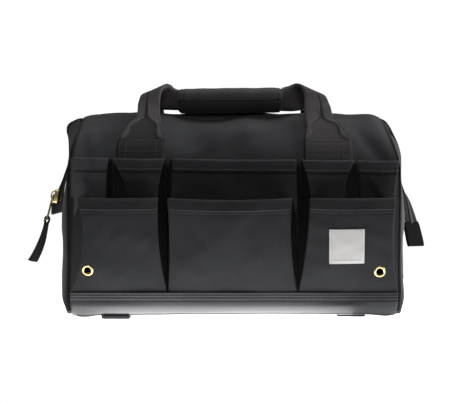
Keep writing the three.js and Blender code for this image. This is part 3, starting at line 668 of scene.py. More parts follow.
# %% [markdown]
# The end walls are the lighter bands beside the front. Each is a tall D of cloth that swells outwards, most
# of all low down where the bag's corners push it. Its outline follows the edge of the main sheets, so the
# grid's columns run from the base up to that outline, and stand closer together near the sides.

# %% End walls
profile_up = np.linspace(CLOTH_FOOT, LIP_UP, 400)
profile_out = np.interp(profile_up, profile[:, 1], profile[:, 0])
WALL_HALF = 95.6


def outline_top(y, side):
    """How high the main sheet's edge is at this far from the middle, at the bag's end."""
    up = np.interp(-np.abs(y), -profile_out, profile_up)
    return up - end_drop(side) * ease(up, SHOULDER, LIP_UP)


def end_x(side, y, up):
    """How far out an end wall stands. The stiff zip pushes out its top, most of all on the left."""
    reach = np.interp(up + 5 * ease(up, 150, 200.4), profile_up, profile_out)
    bend = np.maximum(np.cos(np.clip(y / reach, -1, 1) * math.pi / 2), 0)
    under_zip = 1 - ease(np.abs(y), 13.5, np.maximum(reach * 0.98, 16))
    bulge, fade = (14.2, (110, 182)) if side < 0 else (11.6, (112, 190))
    push = 12.8 * np.clip((up - 145) / 49, 0, 1) * (1 - 0.85 * ease(up, 196, 207))
    if side > 0:
        push = 8.6 * ease(up, 135, 172) * (1 - ease(up, 181, 198))
    bulge = bulge * (1 - 0.5 * (1 - ease(up, 2, 22)) * ease(np.abs(y), 40, 88))
    bulge = bulge * np.sqrt(ease(up, -6, 18)) * (1 - ease(up, *fade))
    x = half_width_at(up, side) + 1.9 + bulge * bend ** (0.4 + 0.35 * ease(up, 10, 70))
    x = x + push * under_zip
    x = x + (1.0 * crumple(y, up, 80, 31 + side) + 0.4 * crumple(y, up, 30, 41 + side)) * bend ** 0.7
    return x + 1.6 * crease(y, up, (-80, 120), (20, 60), 9) * bend


def end_rule(side):
    """The rule for one end wall: u goes from the front to the back, v from under the base to the top."""
    def rule(u, v):
        turn = (2 * u - 1) * math.pi / 2
        y = WALL_HALF * np.sin(turn)
        foot = 2.6 + 7 * np.abs(np.sin(turn)) ** 14
        top = np.minimum(outline_top(y, side), 204.5 if side < 0 else 203)
        up = foot + (top - foot) * np.clip((v - 0.05) / 0.88, 0, 1)
        under = np.sqrt(np.clip(v / 0.05, 0, 1))
        x = HALF_WIDTH - 5 + (end_x(side, y, up) - HALF_WIDTH + 5) * under
        x = x - 1.6 * ease(np.abs(y), 92, WALL_HALF) * (1 - ease(up, 8, 34))
        turned_in = np.maximum(0, v - 0.93) / 0.07
        y = y * (1 - 0.06 * ease(turned_in, 0, 0.3))
        rim = ease(np.abs(2 * u - 1), 0.955, 1.0)
        x, y = x - 7 * rim, y - 2.4 * np.sign(y) * rim
        return np.column_stack([side * (x - 17 * turned_in), y, up - 2.5 * ease(turned_in, 0, 0.5)])
    return rule


for name, side in (("end_wall_left", -1), ("end_wall_right", 1)):
    piece, share = lay_cloth(name, 56, 58, end_rule(side), (196, 205), (side, 0, 0))
    # painted shade towards both seams, on the turned-in rim and over the right wall's upper part, and painted
    # light over the right wall's lower part
    near_seam = np.abs(np.sin((share[:, 0] - 0.5) * math.pi))
    rim = ease(np.abs(2 * share[:, 0] - 1), 0.955, 1.0)
    high = ease(end_rule(side)(share[:, 0], share[:, 1])[:, 2], 105, 178) * (side > 0)
    shade = np.maximum(0.55 * ease(near_seam, 0.6 if side < 0 else 0.85, 0.99), 0.25 * high)
    mark(piece, "painted_shade", np.maximum(rim, shade))
    mark(piece, "wear_and_painted_light", (0.0 if side < 0 else 0.6) * (1 - high))
    thicken(piece, 1.6)
    hand_over(piece, canvas, "canvas", name.replace("wall", "panel"))

# %% [markdown]
# The base is one strip of coated cloth. It comes up the front, goes under the bag and up the back, and is
# sewn over the feet of the main sheets and pockets. Its lower edge is a soft round bend that catches the
# light.

# %% Base strip
BEND = 16
BASE_FRONT = 101.5
BASE_TOP = 28.4
BASE_UNDER = 3.9
BASE_ROWS = (2.2, 5.2, 8.4)  # how far below the strip's edge each row of stitches is
arc = [(-85.5 - BEND * math.sin(a), 19.9 - BEND * math.cos(a)) for a in np.linspace(math.pi / 2, 0, 12)]
base_points = [(-BASE_FRONT, BASE_TOP), (-BASE_FRONT, 24)] + arc + [(-50, BASE_UNDER), (0, BASE_UNDER)]
base_points = base_points + [(-y, z) for y, z in base_points[-2::-1]]
base_path = np.array(base_points)
base_run = run_along(base_path)


def base_rule(u, v):
    """The rule for the base: v goes from its front edge under the bag to its back edge.

    Its rows of faces lie closest where it is sewn.
    """
    end = base_run[-1]
    spot = np.interp(v, [0, 0.17, 0.37, 0.44, 0.56, 0.63, 0.83, 1],
                     [0, 11, 40, 70, end - 70, end - 40, end - 11, end])
    y = np.interp(spot, base_run, base_path[:, 0])
    up = np.interp(spot, base_run, base_path[:, 1])
    x = (2 * u - 1) * (HALF_WIDTH - 0.4)
    ripple = 0.5 * crumple(x, spot, 70, 3) + 0.25 * crumple(x, spot, 26, 4)
    edge = np.minimum(spot, end - spot)
    for row in BASE_ROWS:
        ripple = ripple - 0.4 * np.exp(-((edge - row) / 0.6) ** 2)
    y = y + np.sign(y) * ripple * ease(np.abs(y), 70, 95)
    tucked = ease(np.abs(x), 158, 170) * ease(np.abs(y), 60, 100) * (1 - ease(up, 5, 26))
    y = y - np.sign(y) * 3.0 * tucked
    up = up + np.maximum(0, ripple) * (1 - ease(np.abs(y), 60, 90))
    corner = 2.6 * np.exp(-((x + 157) / 12) ** 2) + 2.2 * np.exp(-((x - 160) / 12) ** 2)
    sag = (1.0 + 1.5 * ease(-x, -60, 120) + corner) * ease(np.abs(y), 84, 93) * (1 - ease(up, 4, 22))
    return np.column_stack([x, y, up - sag])


piece, share = lay_cloth("base_strip", 56, 110, base_rule, (2 * HALF_WIDTH, base_run[-1]), (0, 0, -1))
edge = np.interp(np.minimum(share[:, 1], 1 - share[:, 1]), [0, 0.17, 0.37], [0, 11, 40])
x = (2 * share[:, 0] - 1) * HALF_WIDTH
# painted shade in the sewn grooves, in a band just below them that is darkest towards the left end and faint
# at the right end, and over the left end's lower part
shade = sum(0.75 * np.exp(-((edge - row) / 0.55) ** 2) for row in BASE_ROWS)
below = ease(edge, 8.8, 10)
ends = (0.3 + 0.25 * ease(np.abs(x), 60, 140)) * (1 - 0.85 * ease(x, 110, 150))
shade = np.maximum(shade, below * (1 - ease(edge, 11.5, 17)) * ends)
mark(piece, "painted_shade", np.maximum(shade, 0.4 * below * ease(-x, 100, 150)))
thicken(piece, 2.0)
hand_over(piece, coated, "coated_base", "base_tray")
base_strip = piece

# %% [markdown]
# Pockets are sewn down at their sides and feet, and stand open at the top, because their cloth is wider
# than their place. The spare width folds back at each side as a gusset, which makes the dark gaps between
# pockets. The hem is folded double and sewn with one row or two, so it is thicker and shows a groove.

# %% Pocket cuts
UPPER = {"layer": 96.3, "hem": 166.5, "base": BASE_TOP, "opening": 1.6, "band": 11.6, "rows": (-1.5,),
         "tilt": 0.009}
LOWER = {"layer": 97.8, "hem": 127.5, "base": BASE_TOP, "opening": 0.8, "band": 13.4, "rows": (-1.9, 1.7),
         "tilt": 0.0}
# row of pockets, sewn seams, folds half way up, folds at the hem, standing out, swell, sag, gussets' shade
POCKETS = {
    "upper_pocket_far_left": (UPPER, (-168.8, -124.5), (-165, -132), (-165, -128), 7, 1.5, 0.0, (0.0, 0.85)),
    "upper_pocket_left": (UPPER, (-124, -70), (-103.5, -81), (-125.4, -69.7), 11, 1.5, 0.4, (0.3, 0.75)),
    "upper_pocket_center": (UPPER, (-66.2, 65.2), (-66, 66), (-63.7, 64.3), 6, 1, 0.8, (0.7, 0.7)),
    "upper_pocket_right": (UPPER, (68, 126.9), (83, 108), (67.8, 123.8), 11, 1.5, 0.6, (0.75, 0.2)),
    "upper_pocket_far_right": (UPPER, (127.5, 168.8), (131, 163.5), (125.2, 170.3), 7, 1.5, 0.8, (0.35, 0.0)),
    "lower_pocket_left": (LOWER, (-169.4, -68.8), (-154, -76.5), (-161.5, -76.3), 17, 3, 0.4, (0.1, 0.82)),
    "lower_pocket_center": (LOWER, (-68.2, 65.7), (-66.8, 59), (-69, 60.2), 17, 4, 2.2, (0.82, 0.82)),
    "lower_pocket_right": (LOWER, (66.3, 169.4), (74, 164), (76.6, 166), 17, 3, 0.6, (0.82, 0.1)),
}
GUSSET = 0.16  # each gusset's share of the cloth's width
# the two long creases of the outermost pockets: start, end, width and depth
CREASES = {"upper_pocket_far_left": ((-158, 152), (-144, 114), 3.0, 1.6),
           "upper_pocket_far_right": ((133, 150), (156, 112), 3.2, -2.2)}


def pocket_rule(row, seams, mid, top, out, bow, sag, seed, fold=None):
    """A pocket's outer face: u runs over the gussets and the front, v from the sewn foot to the hem."""
    def edge(k, s):
        """Where the left or right fold is, at this share of the height: a curve through its three places."""
        return seams[k] * (1 - s) * (1 - 2 * s) + mid[k] * 4 * s * (1 - s) + top[k] * s * (2 * s - 1)

    def rule(u, v):
        up = CLOTH_FOOT + v * (row["hem"] - CLOTH_FOOT)
        share = np.clip((up - row["base"]) / (row["hem"] - row["base"]), 0, 1)
        left, right = edge(0, share), edge(1, share)
        middle = np.clip((u - GUSSET) / (1 - 2 * GUSSET), 0, 1)
        side = np.clip(np.minimum(u, 1 - u) / GUSSET, 0, 1)
        on_left = u < 0.5
        seam = np.where(on_left, seams[0], seams[1])
        turned = np.where(on_left, left, right)
        inward = np.where(on_left, 1, -1)
        stand = out * share ** row["opening"]
        tuck = inward * 0.55 * stand * np.sin(side * math.pi) ** 1.3
        x = np.where(side < 1, seam + (turned - seam) * side + tuck, left + (right - left) * middle)
        across = 2 * middle - 1
        depth = stand * side ** 1.25 + bow * np.sin(2.2 * share) * (1 - across ** 2) * (side >= 1)
        below = row["hem"] - up
        face = ease(side, 0.7, 1.0)
        band = 1.3 * (1 - ease(below, row["band"] - 0.1, row["band"] + 1.1))
        groove = 0.5 * sum(np.exp(-((below - row["band"] - shift) / 0.8) ** 2) for shift in row["rows"])
        soft = ease(share, 0.0, 0.25) * face
        depth = depth + (band - groove) * face
        depth = depth + (0.9 * crumple(x, up, 60, seed) + 0.35 * crumple(x, up, 22, seed + 50)) * soft
        pucker = 0.2 * np.sin(x * 2 * math.pi / 8.5 + seed) * np.exp(-((below - row["band"]) / 5) ** 2)
        depth = depth + pucker * face
        if fold:
            depth = depth + fold[3] * crease(x, up, *fold[:3]) * face
        up = up - sag * (1 - across ** 2) * ease(share, 0.55, 1.0) - row["tilt"] * x * share
        up = up - 1.5 * (1 - ease(side, 0.0, 1.0)) * ease(share, 0.5, 1.0)
        return np.column_stack([x, -(row["layer"] + 1.2 + depth), up])
    return rule


print("pockets to make:", len(POCKETS))

# %% [markdown]
# Each pocket is laid out by its rule, and shade is painted where hardly any light reaches: in its gussets,
# along the bag's outermost seams, just under its hem, over the lower pockets' hem bands and, in the upper
# row, behind the lower pockets. Its hem is rubbed pale along the fold, and the far left pocket is painted
# lighter all over.

# %% Pockets
pockets = {}
for seed, (name, (row, *shape, shades)) in enumerate(POCKETS.items()):
    rule = pocket_rule(row, *shape, seed, CREASES.get(name))
    width = shape[0][1] - shape[0][0] + 2 * shape[3]
    rows = 64 if row is UPPER else 60
    columns = max(40, int(width / 2.6))
    cut = (width, row["hem"] - CLOTH_FOOT)
    piece, share = lay_cloth(name + "_cloth", columns, rows, rule, cut, (0, -1, 0))
    below = (1 - share[:, 1]) * cut[1]
    inner = np.minimum(share[:, 0], 1 - share[:, 0]) / GUSSET
    # painted light: the far left pocket is made lighter all over
    lightened = 1.0 if "far_left" in name else 0.0
    mark(piece, "wear_and_painted_light", np.maximum((1 - ease(below, 0.5, 3.0)) * 0.7 * ease(inner, 0.9, 1.0), lightened))
    # painted shade in the gussets, along the outermost seams and, in the upper row, low down behind the lower
    # pockets
    shade = np.where(share[:, 0] < 0.5, *shades)
    shade = shade * (1 - ease(inner, 0.82, 1.0))
    outermost = np.abs(np.array(shape[0])[(share[:, 0] > 0.5).astype(int)]) > 160
    shade = np.maximum(shade, 0.85 * outermost * (1 - ease(inner, 0.04, 0.15)))
    if row is UPPER:
        shade = np.maximum(shade, 0.95 * (1 - ease(row["hem"] - below, 70, 110)))
    # painted shade just under each hem, and over the lower pockets' hem bands
    deepest = 0.9 if row is UPPER else 0.5
    under_hem = deepest * np.exp(-((below - row["band"] - 1.6) / 1.2) ** 2) * ease(inner, 0.9, 1.0)
    if row is LOWER:
        under_hem = np.maximum(under_hem, 0.22 * (1 - ease(below, row["band"], row["band"] + 1)))
    mark(piece, "painted_shade", np.maximum(shade, under_hem))
    thicken(piece, 1.2, hem=(1 - ease(below, row["band"], row["band"] + 1.5)) * ease(inner, 0.7, 0.95))
    hand_over(piece, canvas, "canvas", name)
    pockets[name] = (piece, rule, row)

# %% [markdown]
# Straps, tapes and tabs are closed tubes of many sides, so that a section can change along the way, from
# flat to folded. A curve with a bevel has one section all along, so the tube is a grid instead: one row of
# points for each ring, joined along its side and closed at both ends.

# %% Tubes
def tube(name, rings, along, across, shaded=None):
    """A tube through rings of points in millimetres, closed at its ends. along and across give its UV map."""
    count, sides = rings.shape[:2]
    piece, share, corner = flat_grid(name, sides, count - 1)
    mesh = piece.data
    column = np.rint(share[:, 0] * sides).astype(int)
    ring = np.rint(share[:, 1] * (count - 1)).astype(int)
    mesh.vertices.foreach_set("co", to_frame(rings[ring, column % sides]).ravel())
    wide = np.column_stack([across, across[:, :1]])
    cut = np.column_stack([along[ring[corner]], wide[ring[corner], column[corner]]]) * MM
    mesh.uv_layers[0].data.foreach_set("uv", cut.ravel())
    # shaded holds painted shade, which the finish darkens
    if shaded is not None:
        mark(piece, "painted_shade", shaded[ring, column % sides])
    edit_all()
    bpy.ops.mesh.remove_doubles(threshold=1e-6)
    bpy.ops.mesh.select_all(action="DESELECT")
    bpy.ops.mesh.select_non_manifold()
    bpy.ops.mesh.fill_holes(sides=0)
    bpy.ops.mesh.select_all(action="SELECT")
    bpy.ops.mesh.normals_make_consistent(inside=False)
    bpy.ops.object.mode_set(mode="OBJECT")
    bpy.ops.object.shade_smooth()
    return piece


print("tube helper ready")

# %% [markdown]
# Each handle is one length of wide webbing. It is sewn flat to the bag at both ends, its edges fold in over
# each other above the sewn part, leaving a narrowing tongue between them, and the folded strap stands up,
# turns at a corner and runs through the padded grip. Its course is drawn as stations: lines across the
# strap, each with its middle, its width, the way it faces, its thickness and its tongue.

# %% Handle stations
def profile_at(up):
    """How far out the main sheet stands at this height, and the angle of its face above level."""
    out = np.interp(up, profile[:, 1], profile[:, 0])
    step = [np.interp(up, profile[:, 1], profile_step[:, k]) for k in (0, 1)]
    return out, math.atan2(-step[0], step[1])


def flat_station(x, out, up, half, thick, face, tongue):
    """A level line across the strap. A station is its middle, half its width and its face, as three numbers
    each, and then its thickness and its tongue.
    """
    angle = math.radians(face)
    return (x, out, up, half, 0, 0, 0, math.cos(angle), math.sin(angle), thick, tongue)


def sewn_station(x, up, half, thick, lift, tongue):
    """A level line where the strap lies on the main sheet."""
    out, face = profile_at(up)
    rise = 0.6 + thick + lift
    return flat_station(x, out + rise * math.cos(face), up + rise * math.sin(face), half, thick,
                        math.degrees(face), tongue)


def fold_station(outer, inner, out, normal, thick):
    """A slanting line across the strap, from its outer edge to its inner one, given as (x, up)."""
    middle = np.add(outer, inner) / 2
    half = np.subtract(inner, outer) / 2
    return (middle[0], out, middle[1], half[0], 0, half[1], *normal, thick, 0)


LEFT_LEG = [
    sewn_station(-96.5, 150, 24.5, 1.2, 0, 40),
    sewn_station(-96.5, 165, 25, 1.2, 0, 40),
    sewn_station(-96.5, 178, 25, 1.3, 0, 40),
    sewn_station(-96, 185, 24, 1.7, 0, 18),
    sewn_station(-94.5, 196, 18.5, 2.4, 0.6, 12.5),
    flat_station(-91.5, 50, 206.5, 13.5, 3.0, 56, 2),
    flat_station(-91, 39, 216, 12, 3.2, 44, 0.6),
    fold_station((-103, 223), (-79, 227), 31, (0, 0.85, 0.5), 3.2),
    fold_station((-99.5, 231), (-76.5, 238.5), 24, (-0.3, 0.5, 0.8), 3.0),
    fold_station((-93, 229), (-70.5, 243.5), 18, (-0.4, -0.3, 0.85), 3.0),
    fold_station((-81, 217.5), (-66, 240.5), 15.5, (-0.2, -0.95, 0.2), 3.4),
    fold_station((-69, 216.2), (-61, 238.5), 16.5, (0, -1, 0), 4.5),
    fold_station((-59, 216.0), (-57, 238.5), 17.5, (0, -1, 0), 6.5),
    fold_station((-28, 217), (-28, 238), 17.5, (0, -1, 0), 7),
]
RIGHT_LEG = [
    sewn_station(97, 150, -24.5, 1.2, 0, 40),
    sewn_station(97, 165, -25, 1.2, 0, 40),
    sewn_station(97, 178, -25, 1.3, 0, 40),
    sewn_station(96.5, 185, -24, 1.7, 0, 18),
    sewn_station(94.5, 196, -19.5, 2.4, 0.6, 13),
    flat_station(90.5, 50, 206.5, -15.5, 3.0, 56, 2),
    flat_station(89.5, 39, 216, -14.5, 3.2, 44, 0.6),
    fold_station((103, 221), (75, 227), 31, (0, 0.85, 0.5), 3.2),
    fold_station((98, 230), (72, 240), 24, (0.35, 0.5, 0.8), 3.0),
    fold_station((92, 228), (66, 244), 18, (0.4, -0.3, 0.85), 3.0),
    fold_station((79, 218), (60, 242.5), 15.5, (0.2, -0.95, 0.2), 3.4),
    fold_station((66, 215), (54, 241), 16.5, (0, -1, 0), 4.5),
    fold_station((54, 215), (51, 239.5), 17.5, (0, -1, 0), 6.5),
    fold_station((24, 217), (24, 238), 17.5, (0, -1, 0), 7),
]
print("stations on each leg:", len(LEFT_LEG), len(RIGHT_LEG))

# %% [markdown]
# A smooth curve goes through all stations, and each of its points gets a ring: a face with the fold and the
# tongue pressed into it, and a plain rear. The same numbers paint shade on the strap: over the sewn ends and
# the tongue, less on the right legs than on the left ones, along its edges low down and along the fold, and a
# little all along the right legs. The back handle is the front one's mirror image.

# %% Handle straps
STRAP_FRONT = 37  # points across the face of a strap
STRAP_REAR = 15  # points across its rear
FOLDED = 3.3  # millimetres of thickness, more than which a strap has closed round itself


def strap_rings(side):
    """The rings of one handle, from its left sewn end over the grip to its right one."""
    path = smooth_path(np.array(LEFT_LEG + RIGHT_LEG[::-1]), 230)
    flip = np.array([1, side, 1])
    centre = path[:, :3] * flip
    wide = path[:, 3:6] * flip
    half = np.linalg.norm(wide, axis=1)
    wide = wide / half[:, None]
    face = path[:, 6:9] * flip
    face -= wide * (face * wide).sum(1)[:, None]
    face /= np.linalg.norm(face, axis=1)[:, None]
    front = np.linspace(-1, 1, STRAP_FRONT)
    rear = np.linspace(1, -1, STRAP_REAR + 2)[1:-1]
    rings, across, shaded = [], [], []
    for k in range(len(path)):
        x, up, thick, tongue = path[k, 0], path[k, 2], path[k, 9], max(path[k, 10], 0.0)
        power = 10 if thick < 3.6 else 4
        leg = 1 - ease(thick, FOLDED, 3.6)
        seam = 0.22 * half[k] * ease(up, 200, 212)
        fold = 1.3 * ease(up, 179, 187) * leg
        top = thick * (0.25 + 0.75 * (1 - np.abs(front) ** power) ** 0.5)
        off = np.abs(front * half[k] + seam)
        inside = 1 - ease(off, tongue - 0.3, tongue + 0.7)
        top = top - fold * inside
        # painted shade: the sewn end and the tongue, less on the right legs, which are shaded a little all
        # along, then the edges low down and the crease along the fold
        dark = np.maximum(1 - ease(up, 181, 186), inside * (1 - ease(up, 206, 210)))
        dark = dark * 0.7 if x < 0 else np.maximum(dark * 0.4, 0.18 * leg)
        dark = np.maximum(dark, ease(np.abs(front), 0.88, 0.96) * (1 - ease(up, 196, 208)))
        crease_line = np.exp(-((off - tongue + 0.2) / 0.9) ** 2) * leg * ease(up, 184, 189)
        dark = np.maximum(dark, 0.85 * crease_line)
        shaded.append(np.concatenate([dark, np.full(STRAP_REAR, max(dark[0], dark[-1]))]))
        low = -thick * (0.25 + 0.75 * (1 - np.abs(rear) ** power) ** 0.5)
        a = np.concatenate([front, rear]) * half[k]
        b = np.concatenate([top, low])
        rings.append(centre[k] + a[:, None] * wide[k] + b[:, None] * face[k])
        across.append(a)
    along = run_along(centre)
    return np.array(rings), along, np.array(across), np.array(shaded), path


handles = {}
for name, side in (("handle_front", -1), ("handle_back", 1)):
    rings, along, across, shaded, path = strap_rings(side)
    piece = tube(name + "_strap", rings, along, across, shaded)
    hand_over(piece, webbing, "webbing", name)
    handles[name] = (piece, rings, path)

# %% [markdown]
# The grips are padded wraps round the folded strap. A wrap starts as a cylinder that is a little too thin,
# is remeshed into even faces, and is blown up as cloth with pressure inside, so it swells like padding. The
# swollen roll is then brought to the size of the wrap.

# %% Grip padding
GRIP_MIDDLE = (-4.2, 17.5, 226.2)
GRIP_HALF = 57
GRIP_TILT = 0.012
GRIP_RADIUS = 12.2
GRIP_SWELL = 1.12  # how much thicker the padded roll is than the one it starts from
PAD_LIMIT = 1.8  # the most that padding may move a point, in millimetres


def padded_roll(name):
    """An oval roll along X, remeshed into even faces and blown up a little."""
    start_fresh()
    bpy.ops.mesh.primitive_cylinder_add(vertices=40, radius=GRIP_RADIUS * MM, depth=2 * GRIP_HALF * MM)
    piece = just_made(name)
    edit_all()
    bpy.ops.transform.rotate(value=math.pi / 2, orient_axis="Y", center_override=(0, 0, 0))
    bpy.ops.transform.resize(value=(1, 0.86, 1), center_override=(0, 0, 0))
    bpy.ops.mesh.bevel(offset=2.2 * MM, segments=2)
    bpy.ops.object.mode_set(mode="OBJECT")
    remesh = piece.modifiers.new("even_faces", "REMESH")
    remesh.mode = "VOXEL"
    remesh.voxel_size = 4 * MM
    bpy.ops.object.modifier_apply(modifier="even_faces")
    before = np.array([v.co[:] for v in piece.data.vertices])
    puff = piece.modifiers.new("padding", "CLOTH")
    puff.settings.use_pressure = True
    puff.settings.uniform_pressure_force = 4
    puff.settings.effector_weights.gravity = 0
    for step in range(1, 21):
        bpy.context.scene.frame_set(step)
    bpy.ops.object.modifier_apply(modifier="padding")
    bpy.context.scene.frame_set(1)
    after = np.array([v.co[:] for v in piece.data.vertices])
    body = np.abs(before[:, 0]) < (GRIP_HALF - 8) * MM
    thin, puffed = (np.hypot(shape[body, 1], shape[body, 2]).mean() for shape in (before, after))
    after[:, 1:] *= GRIP_SWELL * thin / puffed
    move = after - before
    far = np.linalg.norm(move, axis=1, keepdims=True)
    after = before + move * np.minimum(1, PAD_LIMIT * MM / np.maximum(far, 1e-9))
    piece.data.vertices.foreach_set("co", after.ravel())
    print(f"{name}: padding swelled its radius from {thin / MM:.2f} to {puffed / MM:.2f} mm")
    return piece


print("grips are", 2 * GRIP_HALF, "mm long")

# %% [markdown]
# Two subdivisions smooth the roll. Then the cloth of the wrap gets its details: one edge that laps over the
# other along the front, a shallow hollow where each end is sewn, and slight ripples. At last the roll goes
# to its place on the strap, a little higher at its right end.

# %% Grips
def grip_wrap(name, side):
    """A padded wrap with the lap, the sewn ends and the ripples of its cloth, in its place."""
    piece = padded_roll(name)
    for level in range(2):
        soft = piece.modifiers.new("soft_wrap", "SUBSURF")
        soft.levels = 1
        soft.render_levels = 1
        bpy.ops.object.modifier_apply(modifier="soft_wrap")
    co = np.array([v.co[:] for v in piece.data.vertices])
    angle = np.arctan2(co[:, 2], co[:, 1] * side)
    radius = np.hypot(co[:, 1], co[:, 2])
    body = ease(radius, 4 * MM, 8 * MM)
    lap = 0.5 * ease(angle, 0.02, 0.09) * (1 - ease(angle, 1.6, 3.0)) - 0.6 * np.exp(-(angle / 0.05) ** 2)
    ends = -0.7 * np.exp(-((np.abs(co[:, 0]) / MM - GRIP_HALF + 6.5) / 0.8) ** 2)
    ripple = 0.35 * crumple(co[:, 0] / MM, angle * 12, 26, 61)
    grow = 1 + (lap + ends + ripple) * MM * body / np.maximum(radius, 4 * MM)
    co[:, 1:] *= grow[:, None]
    co[:, 2] += co[:, 0] * GRIP_TILT
    middle = np.array(GRIP_MIDDLE) * [1, side, 1]
    piece.data.vertices.foreach_set("co", (co + to_frame(middle)).ravel())
    piece.data.update()
    bpy.ops.object.shade_smooth()
    return piece


grips = {}
for name, side in (("grip_front", -1), ("grip_back", 1)):
    piece = grip_wrap(name + "_wrap", side)
    hand_over(piece, grip_cloth, "canvas", name)
    grips[name] = piece

# %% [markdown]
# Two rubber feet run from front to back under the base. Each is a moulded bar: a cube pulled to size, with
# its upright corners rounded, a shallow tread pressed into its underside and a small bevel on every edge.

# %% Feet
RUNNER_X = 123
FOOT_WIDE, FOOT_LONG, FOOT_HIGH = 30, 184, 3.5
FOOT_MIDDLE = 1.8


def pick(piece, kind, test):
    """Selects the points, edges or faces that pass a test, and goes into edit mode with them."""
    bpy.ops.object.mode_set(mode="OBJECT")
    mesh = piece.data
    for elements in (mesh.vertices, mesh.edges, mesh.polygons):
        elements.foreach_set("select", [False] * len(elements))
    chosen = {"VERT": mesh.vertices, "EDGE": mesh.edges, "FACE": mesh.polygons}[kind]
    chosen.foreach_set("select", [bool(test(element)) for element in chosen])
    bpy.context.tool_settings.mesh_select_mode = (kind == "VERT", kind == "EDGE", kind == "FACE")
    bpy.ops.object.mode_set(mode="EDIT")


def block(name, size, middle):
    """A cube pulled to a size and moved to a place, both in metres. It stays in edit mode, all selected."""
    start_fresh()
    bpy.ops.mesh.primitive_cube_add(size=1)
    piece = just_made(name)
    edit_all()
    bpy.ops.transform.resize(value=size, center_override=(0, 0, 0))
    bpy.ops.transform.translate(value=middle)
    return piece


def soften(piece, width):
    """A small bevel on every sharp edge, so that it catches the light, and smooth shading between."""
    bpy.ops.object.mode_set(mode="OBJECT")
    edge = piece.modifiers.new("soft_edge", "BEVEL")
    edge.width = width
    edge.segments = 2
    bpy.ops.object.modifier_apply(modifier="soft_edge")
    bpy.ops.object.shade_smooth_by_angle(angle=math.radians(35))


for name, x in (("runner_left", -RUNNER_X), ("runner_right", RUNNER_X)):
    shorter = 12 if x > 0 else -4  # at the front, where the right foot stands further back
    size = (FOOT_WIDE * MM, (FOOT_LONG - shorter) * MM, FOOT_HIGH * MM)
    foot = block(name + "_foot", size, to_frame((x, shorter / 2, FOOT_MIDDLE)))
    bpy.ops.object.mode_set(mode="OBJECT")
    points = foot.data.vertices
    pick(foot, "EDGE", lambda e: abs(points[e.vertices[0]].co.z - points[e.vertices[1]].co.z) > 1 * MM)
    bpy.ops.mesh.bevel(offset=4 * MM, segments=4)
    pick(foot, "FACE", lambda f: f.normal.z < -0.9)
    bpy.ops.mesh.inset(thickness=3.7 * MM, depth=0)
    bpy.ops.mesh.inset(thickness=0.6 * MM, depth=-0.8 * MM)
    soften(foot, 0.35 * MM)
    hand_over(foot, rubber, "runner_rubber", name)

# %% [markdown]
# The label is a small square of white woven cloth, sewn on all round. It is bare. It starts as a grid too,
# and each of its points is dropped straight back onto the pocket, so that it follows the pocket's swell.

# %% Label
def touch(piece):
    """A search tree of a finished piece, for finding the nearest or the hit point on it."""
    return BVHTree.FromObject(piece, bpy.context.evaluated_depsgraph_get())


LABEL_MIDDLE = (115.4, 77.2)
LABEL_SIZE = 36
IN_FRONT = -200  # a place well in front of the bag, to look back from
label_ground = touch(pockets["lower_pocket_right"][0])


def label_rule(u, v):
    """The rule for the label: a square, turned a little, that lies on the pocket."""
    a, b = (2 * u - 1) * LABEL_SIZE / 2, (2 * v - 1) * LABEL_SIZE / 2
    turn = math.radians(0.8)
    x = LABEL_MIDDLE[0] + a * math.cos(turn) - b * math.sin(turn)
    up = LABEL_MIDDLE[1] + a * math.sin(turn) + b * math.cos(turn)
    edge = np.maximum(np.abs(a), np.abs(b)) / LABEL_SIZE * 2
    y = []
    for px, pz in zip(x, up):
        start = Vector(to_frame((px, IN_FRONT, pz)))
        y.append((label_ground.ray_cast(start, Vector((0, 1, 0)))[0].y - MIDDLE[1]) / MM)
    swell = 1.15 - 0.35 * ease(edge, 0.86, 0.93) * (1 - ease(edge, 0.95, 0.99)) + 0.2 * crumple(a, b, 16, 71)
    return np.column_stack([x, np.array(y) - swell, up])


label = lay_cloth("label_cloth", 32, 32, label_rule, (LABEL_SIZE, LABEL_SIZE), (0, -1, 0))[0]
thicken(label, 0.7)
hand_over(label, label_cloth, "woven_label", "label_patch")

# %% [markdown]
# Two brass eyelets go through the lower pockets. Each is a turned ring: a circle is extruded round its
# section, from the hole over the rolled rim and back down the barrel. A cutter of the same size first makes
# the hole in the cloth.

# %% Eyelets
def turned_ring(name, section, sides):
    """A ring turned round the Z axis. Its section is a closed run of (radius, height) in millimetres."""
    start_fresh()
    bpy.ops.mesh.primitive_circle_add(vertices=sides, radius=section[0][0] * MM)
    ring = just_made(name)
    edit_all()
    bpy.ops.transform.translate(value=(0, 0, section[0][1] * MM))
    for (r0, h0), (r1, h1) in zip(section, section[1:] + section[:1]):
        bpy.ops.mesh.extrude_region_move(TRANSFORM_OT_translate={"value": (0, 0, (h1 - h0) * MM)})
        bpy.ops.transform.resize(value=(r1 / r0, r1 / r0, 1), center_override=(0, 0, 0))
    bpy.ops.mesh.select_all(action="SELECT")
    bpy.ops.mesh.remove_doubles(threshold=1e-6)
    bpy.ops.mesh.normals_make_consistent(inside=False)
    bpy.ops.object.mode_set(mode="OBJECT")
    bpy.ops.object.shade_smooth()
    return ring


